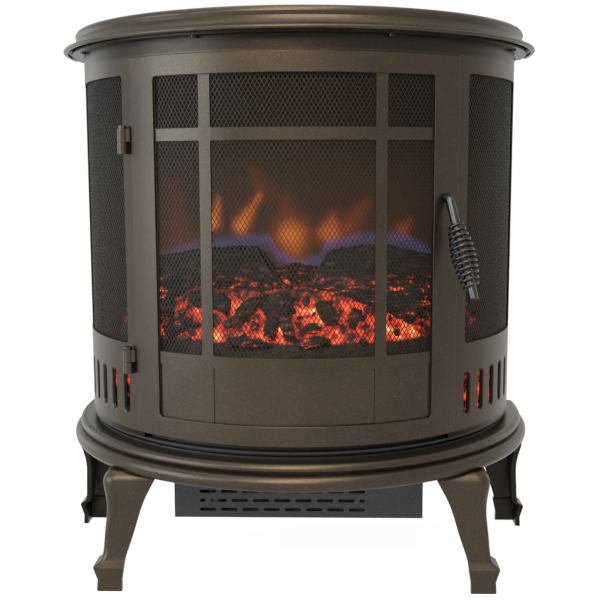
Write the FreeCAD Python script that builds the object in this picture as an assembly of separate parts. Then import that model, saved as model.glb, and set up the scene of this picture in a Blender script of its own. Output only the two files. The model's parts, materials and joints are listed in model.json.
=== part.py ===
import FreeCAD, Part
import math
import os

# Half-round electric stove heater, in millimetres, +Z up and front towards -Y.
# Everything is drawn about the upright axis of the round front. Angles are degrees
# from the front, positive towards +X. Saved pieces are moved so that the origin is on
# the floor, at the middle of the overall width and depth.

Vector = FreeCAD.Vector
UP = Vector(0, 0, 1)
RIGHT = Vector(1, 0, 0)
BACK = Vector(0, 1, 0)
CENTRE = Vector(0, 0, 0)

# Overall sizes
overall_height = 635.0
leg_height = 135.1
back_depth = 20.0
body_radius = 267.3

# Fits
seat_gap = 0.3
running_clearance = 0.05
cut_margin = 2.0

# Lid with its moulded rim
lid_height = 25.2
lid_overhang = 24.1
lid_step = 14.4
lid_bead = 6.0
lid_lip = 4.0
lid_wall = 2.5
lid_boss_radius = 4.0
lid_boss_stand = 3.9
lid_boss_angles = (-68.0, -22.0, 22.0, 68.0)
lid_screw_radius = 1.9
lid_screw_head_radius = 3.6
lid_screw_head_height = 2.0
lid_screw_bite = 10.0

# Base ring and neck
ring_height = 28.4
ring_overhang = 24.4
ring_wall = 3.0
ring_bead = 7.0
ring_flange_width = 62.0
ring_top_width = 27.0
base_sheet = 2.0
base_plate_inset = 4.0
neck_inset = 9.3
neck_sheet = 2.0
neck_height = 24.5
neck_ledge_rise = 4.5

# Body shell, side windows and lower vents
body_sheet = 2.0
back_setback = 2.2
back_return = 18.0
flange_width = 14.2
opening_angle = 39.6
opening_drop = 26.0
window_start = 45.3
window_end = 81.0
window_drop = 36.3
window_height = 297.0
window_corner = 4.0
slot_count = 5
slot_start = 46.6
slot_step = 6.1
slot_width = 6.0
slot_height = 43.0
slot_rise = 25.2
slot_slope = 4.2
slot_depth = 2.6
slot_wall = 1.2

# Expanded metal sheets
mesh_sheet = 1.0
mesh_border = 7.0
mesh_pitch_wide = 33.0
mesh_pitch_high = 54.0
mesh_strand = 5.0
side_mesh_lap = 8.0
side_mesh_lap_angle = 1.8

# Back panel
back_sheet = 1.5
back_vent_count = 7
back_vent_length = 44.0
back_vent_height = 5.0
back_vent_pitch = 60.0
back_vent_margin = 60.0
back_screw_count = 4
back_screw_radius = 1.5
back_screw_head_radius = 3.4
back_screw_head_height = 1.6
back_screw_margin = 30.0
inlet_x = -190.0
inlet_rise = 60.0
inlet_bore = 4.2
inlet_radius = 8.5
inlet_flange_radius = 12.0
inlet_flange = 1.6

# Legs: one casting used four times
foot_corner_radius = 4.0
knee_corner_radius = 13.0
leg_wall = 6.0
foot_height = 28.4
foot_width = 29.0
foot_lip = 3.0
foot_waist = 0.8
ankle_inset = 4.0
waist_inset = 10.7
knee_inset = 7.6
shoulder_inset = 15.0
leg_top_width = 70.0
front_leg_angle = 44.25
front_leg_stand = 30.8
rear_leg_tuck = 0.7
pad_thickness = 6.0
pad_size = 64.0
pad_nose = 26.0
leg_bolt_near = 30.0
leg_bolt_far = 46.0
leg_bolt_radius = 3.0
leg_bolt_head = 5.0
leg_bolt_head_height = 4.0

# Door
door_sheet = 2.1
door_angle = 41.4
door_top_gap = 18.7
door_bottom_gap = 14.4
door_light_angle = 33.8
door_top_rail = 21.9
door_bottom_rail = 22.4
door_corner = 3.0
door_edge_round = 0.8
door_light_corner = 4.0
grid_sheet = 1.5
grid_angle = 35.1
grid_lap = 8.0
grid_bar = 13.0
mullion_angle = 20.2
top_light_height = 54.7
panel_height = 60.2
panel_depth = 1.0
grid_edge_angle = 0.25
door_mesh_angle = 34.1
door_mesh_lap = 6.0
grid_screw_angle = 34.6
grid_screw_rows = 4
grid_screw_radius = 1.1
grid_screw_head_radius = 1.8
grid_screw_head_height = 1.2
grid_screw_bite = 1.4

# Hinges, on the left
hinge_angle = -43.3
hinge_stand = 6.7
barrel_radius = 6.0
pin_radius = 2.5
pin_head_radius = 4.6
pin_head_height = 3.6
leaf_height = 13.6
knuckle_height = 12.8
hinge_play = 0.2
upper_hinge_drop = 89.6
lower_hinge_rise = 79.4
leaf_stand = 2.0
bracket_width = 9.0

# Handle with its coiled wire grip
handle_angle = 37.1
handle_share = 0.6343
handle_rod_radius = 5.0
handle_knee_stand = 6.3
handle_bend = 8.0
handle_lean = 20.5
handle_length = 113.0
handle_tail = 12.0
handle_tail_radius = 4.0
handle_end_round = 1.5
nut_across = 13.0
nut_height = 6.0
washer_radius = 8.0
washer_sheet = 1.5
coil_wire = 3.2
coil_turns = 12
coil_start = 29.0
coil_length = 72.0
coil_belly_radius = 11.9
coil_samples = 48

# Magnetic catch on the right jamb
catch_angle = 37.6
catch_share = 0.731
catch_width = 7.0
catch_height = 36.0
catch_depth = 11.0
catch_gap = 0.4
catch_tab_angle = 42.5
catch_tab_sheet = 1.5

# Firebox
floor_rise = 90.5
floor_sheet = 2.0
floor_inset = 13.3
floor_leg_x = 205.0
floor_leg_front = -110.0
floor_leg_back = -14.0
light_hole_radius = 23.0
light_hole_reach = 150.0
light_hole_angles = (-56.0, -28.0, 0.0, 28.0, 56.0)
ceiling_drop = 26.8
ceiling_sheet = 1.5
ceiling_inset = 9.3
screen_y = -44.0
screen_sheet = 3.0
screen_half_width = 248.0
reflector_y = 7.0
reflector_sheet = 1.0
reflector_half_width = 185.0
reflector_height = 290.0
flame_cut_count = 6
flame_cut_pitch = 54.0
flame_cut_height = 150.0
flame_cut_width = 30.0
flame_cut_rise = 60.0

# Ember bed and logs
bed_radius = 236.0
bed_back = -62.0
bed_lip_height = 22.0
bed_height = 78.0
bed_slope_inset = 34.0
bed_wall = 4.0
coal_count = 17
coal_size = 24.0
coal_chamfer = 5.0
coal_reach_near = 170.0
coal_reach_far = 212.0
coal_spread_angle = 62.0
log_radius = 37.0
thin_log_radius = 21.0
stub_radius = 30.0
log_taper = 0.86
log_sides = 14
log_unevenness = 0.06
log_gap = 0.4

# Lamps under the bed
lamp_angles = (-28.0, 0.0, 28.0)
lamp_holder_radius = 12.0
lamp_holder_height = 24.0
lamp_bulb_radius = 16.0
lamp_length = 62.0
lamp_neck_radius = 7.0

# Turning flame spindle behind the screen
spindle_y = -16.0
spindle_rise = 60.0
spindle_rod_radius = 3.0
spindle_half_length = 196.0
spindle_plate_x = 190.0
spindle_plate_sheet = 3.0
spindle_plate_half_width = 15.0
spindle_plate_head = 14.0
flag_count = 12
flag_reach = 15.0
flag_width = 22.0
flag_sheet = 0.8
flag_twist = 55.0
spindle_motor_radius = 22.0
spindle_motor_length = 26.0

# Fan heater under the base
case_half_width = 151.5
case_front = -120.0
case_back = -14.0
case_drop = 87.0
case_sheet = 1.2
grille_rows = 3
grille_columns = 8
grille_margin = 31.0
grille_pitch = 26.0
grille_slot_length = 20.0
grille_slot_height = 4.0
grille_row_pitch = 11.3
grille_rise = 10.0
intake_count = 9
intake_pitch = 28.0
intake_width = 6.0
intake_height = 60.0
fan_y = -56.0
fan_rise = 60.0
fan_radius = 27.0
fan_half_length = 92.0
fan_blades = 18
fan_blade_sheet = 1.0
fan_blade_depth = 9.0
fan_blade_angle = 35.0
fan_disc_sheet = 2.0
fan_shaft_radius = 3.0
fan_plate_x = 100.0
fan_plate_sheet = 3.0
fan_plate_half_width = 20.0
fan_plate_head = 18.0
fan_shaft_over = 8.0
fan_motor_radius = 25.0
fan_motor_length = 32.0
element_y = -98.0
element_tube = 4.0
element_passes = 4
element_pitch = 20.0
element_rise = 24.0
element_half_length = 108.0
element_plate_sheet = 1.5
element_plate_depth = 20.0
element_plate_head = 12.0
cutout_x = 60.0
cutout_radius = 8.0
cutout_height = 6.0
cutout_tab_width = 3.0
cutout_tab_length = 6.0
cutout_tab_sheet = 0.8

# Controls behind the lower part of the door
control_inset = 29.3
control_sheet = 1.5
control_angle = 36.0
control_rise = 50.0
rocker_angle = 6.0
rocker_radius = 7.9
rocker_width = 9.0
rocker_tilt = 9.0
rocker_face = 4.4
rocker_play = 0.3
rocker_pin_radius = 1.2
rocker_pin_length = 1.2
switch_bezel_width = 15.0
switch_bezel_height = 22.0
switch_bezel = 1.5
switch_body_height = 19.0
switch_body_width = 12.6
switch_body_depth = 16.0
knob_angle = 18.0
knob_radius = 10.0
knob_length = 11.0
knob_skirt_radius = 12.0
knob_skirt = 2.0
knob_stand = 0.6
knob_pointer_width = 2.0
knob_pointer_depth = 1.0
knob_shaft_radius = 3.0
knob_shaft_length = 14.0
pot_radius = 11.0
pot_depth = 12.0

# Heights and radii that follow from the sizes above
ring_top = leg_height + ring_height
plate_top = ring_top + base_sheet
shell_low = plate_top + neck_ledge_rise + neck_sheet
lid_low = overall_height - lid_height
lid_radius = body_radius + lid_overhang
ring_radius = body_radius + ring_overhang
shell_inside = body_radius - body_sheet
shell_back = back_depth - back_setback
panel_back = shell_back - body_sheet
panel_front = panel_back - back_sheet
door_in = body_radius + seat_gap
door_out = door_in + door_sheet
door_low = ring_top + door_bottom_gap
door_high = lid_low - door_top_gap
handle_z = door_low + handle_share * (door_high - door_low)
catch_z = door_low + catch_share * (door_high - door_low)
light_low = door_low + door_bottom_rail
light_high = door_high - door_top_rail
grid_out = door_in - seat_gap
grid_in = grid_out - grid_sheet
panel_top = light_low + panel_height
rail_top = panel_top + grid_bar
top_light_low = light_high - top_light_height
top_bar_low = top_light_low - grid_bar
door_mesh_out = grid_in - seat_gap
side_mesh_out = shell_inside - seat_gap
window_high = lid_low - window_drop
window_low = window_high - window_height
floor_low = plate_top + floor_rise
floor_top = floor_low + floor_sheet
floor_radius = body_radius - floor_inset
ceiling_low = lid_low - ceiling_drop
bed_top = floor_top + bed_height
hinge_radius = body_radius + hinge_stand
control_out = body_radius - control_inset
control_in = control_out - control_sheet
control_z = plate_top + control_rise
case_low = leg_height - case_drop
fan_z = case_low + fan_rise
spindle_z = floor_top + spindle_rise
to_origin = Vector(0, (ring_radius - back_depth) / 2, 0)


# Shared ways of making a shape

def polar(radius, angle, z=0.0):
    turn = math.radians(angle)
    return Vector(radius * math.sin(turn), -radius * math.cos(turn), z)


def arc_degrees(length, radius):
    return math.degrees(length / radius)


def polygon(points):
    return Part.Face(Part.makePolygon(points + [points[0]]))


def block(x_low, x_high, y_low, y_high, z_low, z_high):
    corner = Vector(x_low, y_low, z_low)
    return Part.makeBox(x_high - x_low, y_high - y_low, z_high - z_low, corner)


def turned(shape, angle):
    copy = shape.copy()
    copy.rotate(CENTRE, UP, angle)
    return copy


def mirrored(shape, normal):
    return shape.mirror(CENTRE, normal)


def rod(radius, start, end):
    along = end - start
    return Part.makeCylinder(radius, along.Length, start, along)


def outward_rod(radius, reach_low, reach_high, angle, z):
    return rod(radius, polar(reach_low, angle, z), polar(reach_high, angle, z))


def joined(shapes):
    first = shapes[0]
    return first.fuse(shapes[1:]).removeSplitter() if len(shapes) > 1 else first


def sector(r_in, r_out, z_low, z_high, start, end, corner=0.0):
    """Curved slab between two angles, with rounded corners when it is seen from outside."""
    face = polygon([
        Vector(r_in, 0, z_low), Vector(r_out, 0, z_low),
        Vector(r_out, 0, z_high), Vector(r_in, 0, z_high)])
    face.rotate(CENTRE, UP, start - 90)
    slab = face.revolve(CENTRE, UP, end - start)
    if corner == 0.0:
        return slab
    radial_edges = []
    for edge in slab.Edges:
        ends = [math.hypot(vertex.X, vertex.Y) for vertex in edge.Vertexes]
        if len(ends) == 2 and abs(ends[0] - ends[1]) > (r_out - r_in) / 2:
            radial_edges.append(edge)
    return slab.makeFillet(corner, radial_edges)


def half_round_face(radius, back, z):
    right = Vector(radius, 0, z)
    left = Vector(-radius, 0, z)
    front = Part.Arc(left, Vector(0, -radius, z), right).toShape()
    edges = [front]
    corners = [right, Vector(radius, back, z), Vector(-radius, back, z), left]
    for start, end in zip(corners, corners[1:]):
        edges.append(Part.makeLine(start, end))
    return Part.Face(Part.Wire(edges))


def half_round_plate(radius, back, z_low, z_high):
    return half_round_face(radius, back, z_low).extrude(UP * (z_high - z_low))


def half_round_moulding(face, back):
    """Sweep a section drawn at +X round the front and straight to the flat back."""
    front = face.revolve(CENTRE, -UP, 180)
    right = face.extrude(BACK * back)
    return joined([front, right, mirrored(right, RIGHT)])


def section_face(path):
    """Closed section in the XZ plane. A pair is a corner, a triple of pairs an arc."""
    edges = []
    for start, middle, end in path:
        first = Vector(start[0], 0, start[1])
        last = Vector(end[0], 0, end[1])
        if middle is None:
            edges.append(Part.makeLine(first, last))
        else:
            edges.append(Part.Arc(first, Vector(middle[0], 0, middle[1]), last).toShape())
    return Part.Face(Part.Wire(edges))


def slot_outline(width, height, middle, reach):
    """Upright round-ended outline in a plane that faces the front."""
    half = width / 2
    low = middle - height / 2 + half
    high = middle + height / 2 - half
    return Part.Wire([
        Part.makeLine(Vector(half, -reach, low), Vector(half, -reach, high)),
        Part.Arc(Vector(half, -reach, high), Vector(0, -reach, high + half), Vector(-half, -reach, high)).toShape(),
        Part.makeLine(Vector(-half, -reach, high), Vector(-half, -reach, low)),
        Part.Arc(Vector(-half, -reach, low), Vector(0, -reach, low - half), Vector(half, -reach, low)).toShape()])


def flat_slot(x_low, x_high, height, z, y_low, y_high):
    """Cutter for a level round-ended slot in a plate that faces along Y."""
    half = height / 2
    left = x_low + half
    right = x_high - half
    edges = [
        Part.makeLine(Vector(left, y_low, z - half), Vector(right, y_low, z - half)),
        Part.Arc(Vector(right, y_low, z - half), Vector(x_high, y_low, z),
                 Vector(right, y_low, z + half)).toShape(),
        Part.makeLine(Vector(right, y_low, z + half), Vector(left, y_low, z + half)),
        Part.Arc(Vector(left, y_low, z + half), Vector(x_low, y_low, z),
                 Vector(left, y_low, z - half)).toShape()]
    return Part.Face(Part.Wire(edges)).extrude(BACK * (y_high - y_low))


def swept(edges, radius):
    """Round tube along a chain of edges."""
    wire = Part.Wire(edges)
    start = edges[0].Vertexes[0].Point
    along = edges[0].tangentAt(edges[0].FirstParameter)
    ring = Part.Wire(Part.makeCircle(radius, start, along))
    pipe = Part.BRepOffsetAPI.MakePipeShell(wire)
    pipe.add(ring)
    pipe.build()
    pipe.makeSolid()
    return pipe.shape()


# Lid

def lid_outside():
    """Outside of the lid's section, from the middle of the top to the toe of the lip."""
    crown = lid_radius - lid_step
    top = overall_height
    cove_top = top - lid_bead - lid_lip
    lip_top = lid_low + lid_lip
    lip_out = lid_radius - lid_wall / 2
    cove_middle = (crown + lid_step * 0.3, (cove_top + lip_top) / 2 - lid_step * 0.14)
    bead_middle = (crown - lid_bead * 0.3, top - lid_bead * 0.3)
    lip_middle = (lid_radius, lid_low + lid_lip * 0.55)
    return [
        ((0, top), None, (crown - lid_bead, top)),
        ((crown - lid_bead, top), bead_middle, (crown, top - lid_bead)),
        ((crown, top - lid_bead), None, (crown - lid_wall / 2, cove_top)),
        ((crown - lid_wall / 2, cove_top), cove_middle, (lip_out, lip_top)),
        ((lip_out, lip_top), lip_middle, (lip_out, lid_low))]


def lid_section():
    crown = lid_radius - lid_step
    top = overall_height
    cove_top = top - lid_bead - lid_lip
    lip_top = lid_low + lid_lip
    inner_lip = lid_radius - lid_wall
    return section_face(lid_outside() + [
        ((lid_radius - lid_wall / 2, lid_low), None, (inner_lip - lid_wall, lid_low)),
        ((inner_lip - lid_wall, lid_low), None, (inner_lip - lid_wall, lip_top - lid_wall / 2)),
        ((inner_lip - lid_wall, lip_top - lid_wall / 2), None, (crown - lid_wall * 1.6, cove_top - lid_wall)),
        ((crown - lid_wall * 1.6, cove_top - lid_wall), None, (crown - lid_bead, top - lid_wall)),
        ((crown - lid_bead, top - lid_wall), None, (0, top - lid_wall)),
        ((0, top - lid_wall), None, (0, top))])


def lid_boss_spots():
    reach = body_radius + lid_boss_stand
    spots = [polar(reach, angle, lid_low) for angle in lid_boss_angles]
    spots.append(Vector(reach, shell_back / 2, lid_low))
    spots.append(Vector(-reach, shell_back / 2, lid_low))
    return spots


def top_plate():
    toe = (lid_radius - lid_wall / 2, lid_low)
    end = section_face(lid_outside() + [
        (toe, None, (0, lid_low)),
        ((0, lid_low), None, (0, overall_height))])
    end.translate(BACK * (back_depth - lid_wall))
    rear = end.extrude(BACK * lid_wall)
    pieces = [half_round_moulding(lid_section(), back_depth), rear, mirrored(rear, RIGHT)]
    for spot in lid_boss_spots():
        pieces.append(rod(lid_boss_radius, spot, Vector(spot.x, spot.y, overall_height - lid_wall / 2)))
    lid = joined(pieces)
    pilots = []
    for spot in lid_boss_spots():
        bottom = spot - UP * cut_margin
        top = spot + UP * (lid_screw_bite + seat_gap)
        pilots.append(rod(lid_screw_radius + running_clearance, bottom, top))
    return lid.cut(pilots)


def lid_screws():
    screws = []
    for spot in lid_boss_spots():
        under = spot - UP * body_sheet
        head = rod(lid_screw_head_radius, under - UP * lid_screw_head_height, under)
        screws.append(joined([head, rod(lid_screw_radius, under, spot + UP * lid_screw_bite)]))
    return Part.makeCompound(screws)


# Base ring, base plate and neck

def ring_outside():
    """Outside of the ring's section: a large lower bead, a groove and a small upper bead."""
    low = leg_height
    top = ring_top
    outer = ring_radius
    bead_out = outer - ring_bead
    waist = bead_out - ring_wall * 0.7
    waist_z = low + ring_height * 0.58
    return [
        ((outer - ring_wall, low), (outer - ring_wall * 0.27, low + ring_bead * 0.39),
         (outer, low + ring_bead)),
        ((outer, low + ring_bead), (outer - ring_wall * 0.5, low + ring_height * 0.45), (waist, waist_z)),
        ((waist, waist_z), None, (bead_out, low + ring_height * 0.74)),
        ((bead_out, low + ring_height * 0.74), (bead_out - ring_bead * 0.24, top - ring_bead * 0.34),
         (bead_out - ring_bead, top))]


def ring_section():
    low = leg_height
    top = ring_top
    toe = ring_radius - ring_wall
    bead_out = ring_radius - ring_bead
    waist = bead_out - ring_wall * 0.7
    waist_z = low + ring_height * 0.58
    inner_top = body_radius - ring_top_width * 0.4
    return section_face(ring_outside() + [
        ((bead_out - ring_bead, top), None, (inner_top, top)),
        ((inner_top, top), None, (inner_top, top - ring_wall)),
        ((inner_top, top - ring_wall), None, (waist - ring_bead, top - ring_wall)),
        ((waist - ring_bead, top - ring_wall), None, (waist - ring_wall, waist_z - ring_wall)),
        ((waist - ring_wall, waist_z - ring_wall), None, (toe - ring_wall, low + ring_wall)),
        ((toe - ring_wall, low + ring_wall), None, (toe - ring_flange_width, low + ring_wall)),
        ((toe - ring_flange_width, low + ring_wall), None, (toe - ring_flange_width, low)),
        ((toe - ring_flange_width, low), None, (toe, low))])


def base_ring():
    bead_edge = (ring_radius - ring_bead * 2, ring_top)
    inner_edge = body_radius - ring_top_width * 0.4
    end = section_face(ring_outside() + [
        (bead_edge, None, (inner_edge, ring_top)),
        ((inner_edge, ring_top), None, (inner_edge, leg_height)),
        ((inner_edge, leg_height), None, (ring_radius - ring_wall, leg_height))])
    end.translate(BACK * (back_depth - ring_wall))
    cap = end.extrude(BACK * ring_wall)
    ring = joined([half_round_moulding(ring_section(), back_depth), cap, mirrored(cap, RIGHT)])
    holes = []
    for spot in leg_bolt_spots():
        holes.append(rod(leg_bolt_radius + running_clearance, spot, spot + UP * (ring_wall + cut_margin)))
    return ring.cut(holes)


def base_plate():
    return half_round_plate(body_radius - base_plate_inset, shell_back, ring_top, plate_top)


def neck_band():
    outer = body_radius - neck_inset
    inner = outer - neck_sheet
    ledge_low = plate_top + neck_ledge_rise
    wall = section_face([
        ((inner, plate_top), None, (outer, plate_top)),
        ((outer, plate_top), None, (outer, ledge_low)),
        ((outer, ledge_low), None, (body_radius, ledge_low)),
        ((body_radius, ledge_low), None, (body_radius, shell_low)),
        ((body_radius, shell_low), None, (outer, shell_low)),
        ((outer, shell_low), None, (outer, plate_top + neck_height)),
        ((outer, plate_top + neck_height), None, (inner, plate_top + neck_height)),
        ((inner, plate_top + neck_height), None, (inner, plate_top))])
    return half_round_moulding(wall, panel_front - seat_gap)


# Body shell, back panel and side mesh

def pressed_slope(reach, depth, grow):
    """Slope pressed inwards round a vent slot, wider by grow all round."""
    middle = shell_low + slot_rise + slot_height / 2
    inner = grow * 2
    outer = inner + slot_slope * 2
    return Part.makeLoft([
        slot_outline(slot_width + outer, slot_height + outer, middle, reach),
        slot_outline(slot_width + inner, slot_height + inner, middle, reach - depth)], True, True)


def vent_slot():
    middle = shell_low + slot_rise + slot_height / 2
    hole = Part.Face(slot_outline(slot_width, slot_height, middle, body_radius))
    return hole.extrude(BACK * (slot_depth + body_sheet * 2))


def body_shell():
    wall = half_round_plate(body_radius, shell_back, shell_low, lid_low)
    hollow = half_round_plate(shell_inside, panel_back, shell_low - cut_margin, lid_low + cut_margin)
    back_open = shell_inside - back_return
    gap = block(-back_open, back_open, panel_back - cut_margin, back_depth, shell_low - cut_margin,
                lid_low + cut_margin)
    rim_radius = body_radius + flange_width
    rim_low = lid_low - body_sheet
    rim = polygon([
        Vector(shell_inside, 0, rim_low), Vector(rim_radius, 0, rim_low),
        Vector(rim_radius, 0, lid_low), Vector(shell_inside, 0, lid_low)])
    shell = joined([wall.cut([hollow, gap]), half_round_moulding(rim, shell_back)])
    near = shell_inside - cut_margin
    far = body_radius + cut_margin
    doorway = sector(near, far, shell_low - cut_margin * 4, lid_low - opening_drop, -opening_angle,
                     opening_angle, door_light_corner)
    cutters = [doorway]
    pressed = []
    for side in (1, -1):
        start = min(side * window_start, side * window_end)
        end = max(side * window_start, side * window_end)
        cutters.append(sector(near, far, window_low, window_high, start, end, window_corner))
        for index in range(slot_count):
            angle = side * (slot_start + index * slot_step)
            pressed.append(turned(pressed_slope(body_radius - body_sheet / 2, slot_depth, slot_wall), angle))
            cutters.append(turned(pressed_slope(body_radius, slot_depth, 0.0), angle))
            cutters.append(turned(vent_slot(), angle))
    for spot in lid_boss_spots():
        under = spot - UP * (body_sheet + cut_margin)
        cutters.append(rod(lid_screw_radius + seat_gap, under, spot + UP * cut_margin))
    for spot in back_screw_spots():
        cutters.append(rod(back_screw_radius + running_clearance, spot - BACK * (body_sheet + cut_margin),
                           spot + BACK * cut_margin))
    return joined([shell] + pressed).cut(cutters)


def back_screw_spots():
    x = shell_inside - back_return / 2
    low = shell_low + back_screw_margin
    step = (lid_low - back_screw_margin - low) / (back_screw_count - 1)
    spots = []
    for side in (-1, 1):
        for index in range(back_screw_count):
            spots.append(Vector(side * x, shell_back, low + index * step))
    return spots


def back_screws():
    screws = []
    for spot in back_screw_spots():
        head = rod(back_screw_head_radius, spot, spot + BACK * back_screw_head_height)
        screws.append(joined([head, rod(back_screw_radius, spot - BACK * (body_sheet + back_sheet), spot)]))
    return Part.makeCompound(screws)


def back_panel():
    half = shell_inside - seat_gap
    high = lid_low - body_sheet - seat_gap
    panel = block(-half, half, panel_front, panel_back, plate_top + seat_gap, high)
    cutters = []
    for index in range(back_vent_count):
        x = (index - (back_vent_count - 1) / 2) * back_vent_pitch
        for z in (shell_low + back_vent_margin, high - back_vent_margin):
            cutters.append(flat_slot(x - back_vent_length / 2, x + back_vent_length / 2, back_vent_height, z,
                                     panel_front - cut_margin, panel_back + cut_margin))
    for spot in back_screw_spots():
        inside = spot - BACK * (body_sheet * 2 + back_sheet)
        cutters.append(rod(back_screw_radius + running_clearance, spot, inside))
    inlet = Vector(inlet_x, panel_front - cut_margin, shell_low + inlet_rise)
    cutters.append(rod(inlet_radius + running_clearance, inlet, inlet + BACK * (back_sheet + cut_margin * 2)))
    return panel.cut(cutters)


def cord_inlet():
    z = shell_low + inlet_rise
    inside = Vector(inlet_x, panel_front - inlet_flange, z)
    outside = Vector(inlet_x, panel_back + inlet_flange, z)
    front = rod(inlet_flange_radius, inside, inside + BACK * inlet_flange)
    rear = rod(inlet_flange_radius, outside - BACK * inlet_flange, outside)
    bush = joined([rod(inlet_radius, inside, outside), front, rear])
    return bush.cut(rod(inlet_bore, inside - BACK * cut_margin, outside + BACK * cut_margin))


def expanded_sheet(outer, start, end, z_low, z_high):
    """Curved sheet with staggered diamond gaps, the long way upright."""
    sheet = sector(outer - mesh_sheet, outer, z_low, z_high, start, end)
    step = arc_degrees(mesh_pitch_wide, outer)
    border = arc_degrees(mesh_border, outer)
    half_wide = (mesh_pitch_wide - mesh_strand) / 2
    half_high = (mesh_pitch_high - mesh_strand * mesh_pitch_high / mesh_pitch_wide) / 2
    columns = int((end - start - 2 * border) / (step / 2)) - 1
    rows = int((z_high - z_low - 2 * mesh_border) / mesh_pitch_high)
    middle = (start + end) / 2
    reach = outer + cut_margin
    diamond = polygon([
        Vector(half_wide, -reach, 0), Vector(0, -reach, half_high),
        Vector(-half_wide, -reach, 0), Vector(0, -reach, -half_high)])
    cutter = diamond.extrude(BACK * (mesh_sheet + 2 * cut_margin))
    gaps = []
    for column in range(columns):
        angle = middle + (column - (columns - 1) / 2) * step / 2
        count = rows if column % 2 == 0 else rows - 1
        for row in range(count):
            z = (z_low + z_high) / 2 + (row - (count - 1) / 2) * mesh_pitch_high
            gap = turned(cutter, angle)
            gap.translate(UP * z)
            gaps.append(gap)
    return sheet.cut(gaps)


def side_mesh():
    return expanded_sheet(side_mesh_out, window_start - side_mesh_lap_angle, window_end + side_mesh_lap_angle,
                          window_low - side_mesh_lap, window_high + side_mesh_lap)


# Legs

def leg_level(z, inset, width, corner):
    """Section of the corner casting. The wings run along -X and +Y from the outer corner."""
    inner = max(corner - leg_wall, running_clearance * 20)
    slant = math.sqrt(0.5)

    def point(u, v):
        return Vector(-u, v, z)

    near = inset + corner
    deep = inset + leg_wall
    turn = deep + inner
    outer_middle = near - corner * slant
    inner_middle = turn - inner * slant
    edges = [
        Part.makeLine(point(width, inset), point(near, inset)),
        Part.Arc(point(near, inset), point(outer_middle, outer_middle), point(inset, near)).toShape(),
        Part.makeLine(point(inset, near), point(inset, width)),
        Part.makeLine(point(inset, width), point(deep, width)),
        Part.makeLine(point(deep, width), point(deep, turn)),
        Part.Arc(point(deep, turn), point(inner_middle, inner_middle), point(turn, deep)).toShape(),
        Part.makeLine(point(turn, deep), point(width, deep)),
        Part.makeLine(point(width, deep), point(width, inset))]
    return Part.Wire(edges)


def leg():
    """Swept leg with a lipped foot, its outer foot corner at the origin."""
    rise = leg_height - foot_height
    ankle_z = foot_height + foot_lip * 1.5
    grow = leg_top_width - foot_width
    foot = Part.makeLoft([
        leg_level(0, 0, foot_width, foot_corner_radius),
        leg_level(foot_height * 0.42, foot_waist, foot_width, foot_corner_radius),
        leg_level(foot_height - foot_lip / 2, -foot_lip, foot_width + foot_lip, foot_corner_radius),
        leg_level(foot_height, -foot_lip, foot_width + foot_lip, foot_corner_radius),
        leg_level(ankle_z, ankle_inset, foot_width + foot_lip, foot_corner_radius)], True, True)
    waist_corner = (foot_corner_radius + knee_corner_radius) / 2
    shank = Part.makeLoft([
        leg_level(ankle_z, ankle_inset, foot_width + foot_lip, foot_corner_radius),
        leg_level(foot_height + rise * 0.26, (ankle_inset + waist_inset) * 0.54, foot_width + grow * 0.25,
                  waist_corner * 0.75),
        leg_level(foot_height + rise * 0.56, waist_inset, foot_width + grow * 0.49, waist_corner),
        leg_level(foot_height + rise * 0.74, waist_inset * 0.84, foot_width + grow * 0.68,
                  knee_corner_radius),
        leg_level(foot_height + rise * 0.90, knee_inset, foot_width + grow * 0.9, knee_corner_radius),
        leg_level(leg_height, shoulder_inset, leg_top_width, knee_corner_radius)], True, False)
    low = leg_height - pad_thickness
    start = shoulder_inset + leg_wall / 2
    pad = polygon([
        Vector(-start, start, low), Vector(-pad_size, start, low), Vector(-pad_size, pad_nose, low),
        Vector(-pad_nose, pad_size, low), Vector(-start, pad_size, low)]).extrude(UP * pad_thickness)
    casting = joined([foot, shank, pad])
    holes = []
    for u, v in leg_bolt_places():
        spot = Vector(-u, v, low - cut_margin)
        holes.append(rod(leg_bolt_radius + seat_gap, spot, spot + UP * (pad_thickness + cut_margin * 2)))
    return casting.cut(holes)


def leg_bolt_places():
    return ((leg_bolt_near, leg_bolt_far), (leg_bolt_far, leg_bolt_near))


def front_leg_corner():
    return polar(ring_radius + front_leg_stand, front_leg_angle)


def rear_leg_corner():
    return Vector(ring_radius - rear_leg_tuck, back_depth - foot_lip, 0)


def front_leg():
    casting = leg()
    casting.translate(front_leg_corner())
    return casting


def rear_leg():
    casting = mirrored(leg(), BACK)
    casting.translate(rear_leg_corner())
    return casting


def leg_bolt_spots():
    front = front_leg_corner()
    rear = rear_leg_corner()
    spots = []
    for u, v in leg_bolt_places():
        for side in (1, -1):
            spots.append(Vector(side * (front.x - u), front.y + v, leg_height))
            spots.append(Vector(side * (rear.x - u), rear.y - v, leg_height))
    return spots


def leg_bolts():
    bolts = []
    for spot in leg_bolt_spots():
        under = spot - UP * pad_thickness
        corners = []
        for step in range(6):
            turn = math.radians(60 * step)
            corners.append(under + Vector(math.cos(turn), math.sin(turn), 0) * leg_bolt_head)
        head = polygon(corners).extrude(-UP * leg_bolt_head_height)
        shank = rod(leg_bolt_radius, under, spot + UP * (ring_wall + leg_bolt_head_height))
        bolts.append(joined([head, shank]))
    return Part.makeCompound(bolts)


# Door

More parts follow.
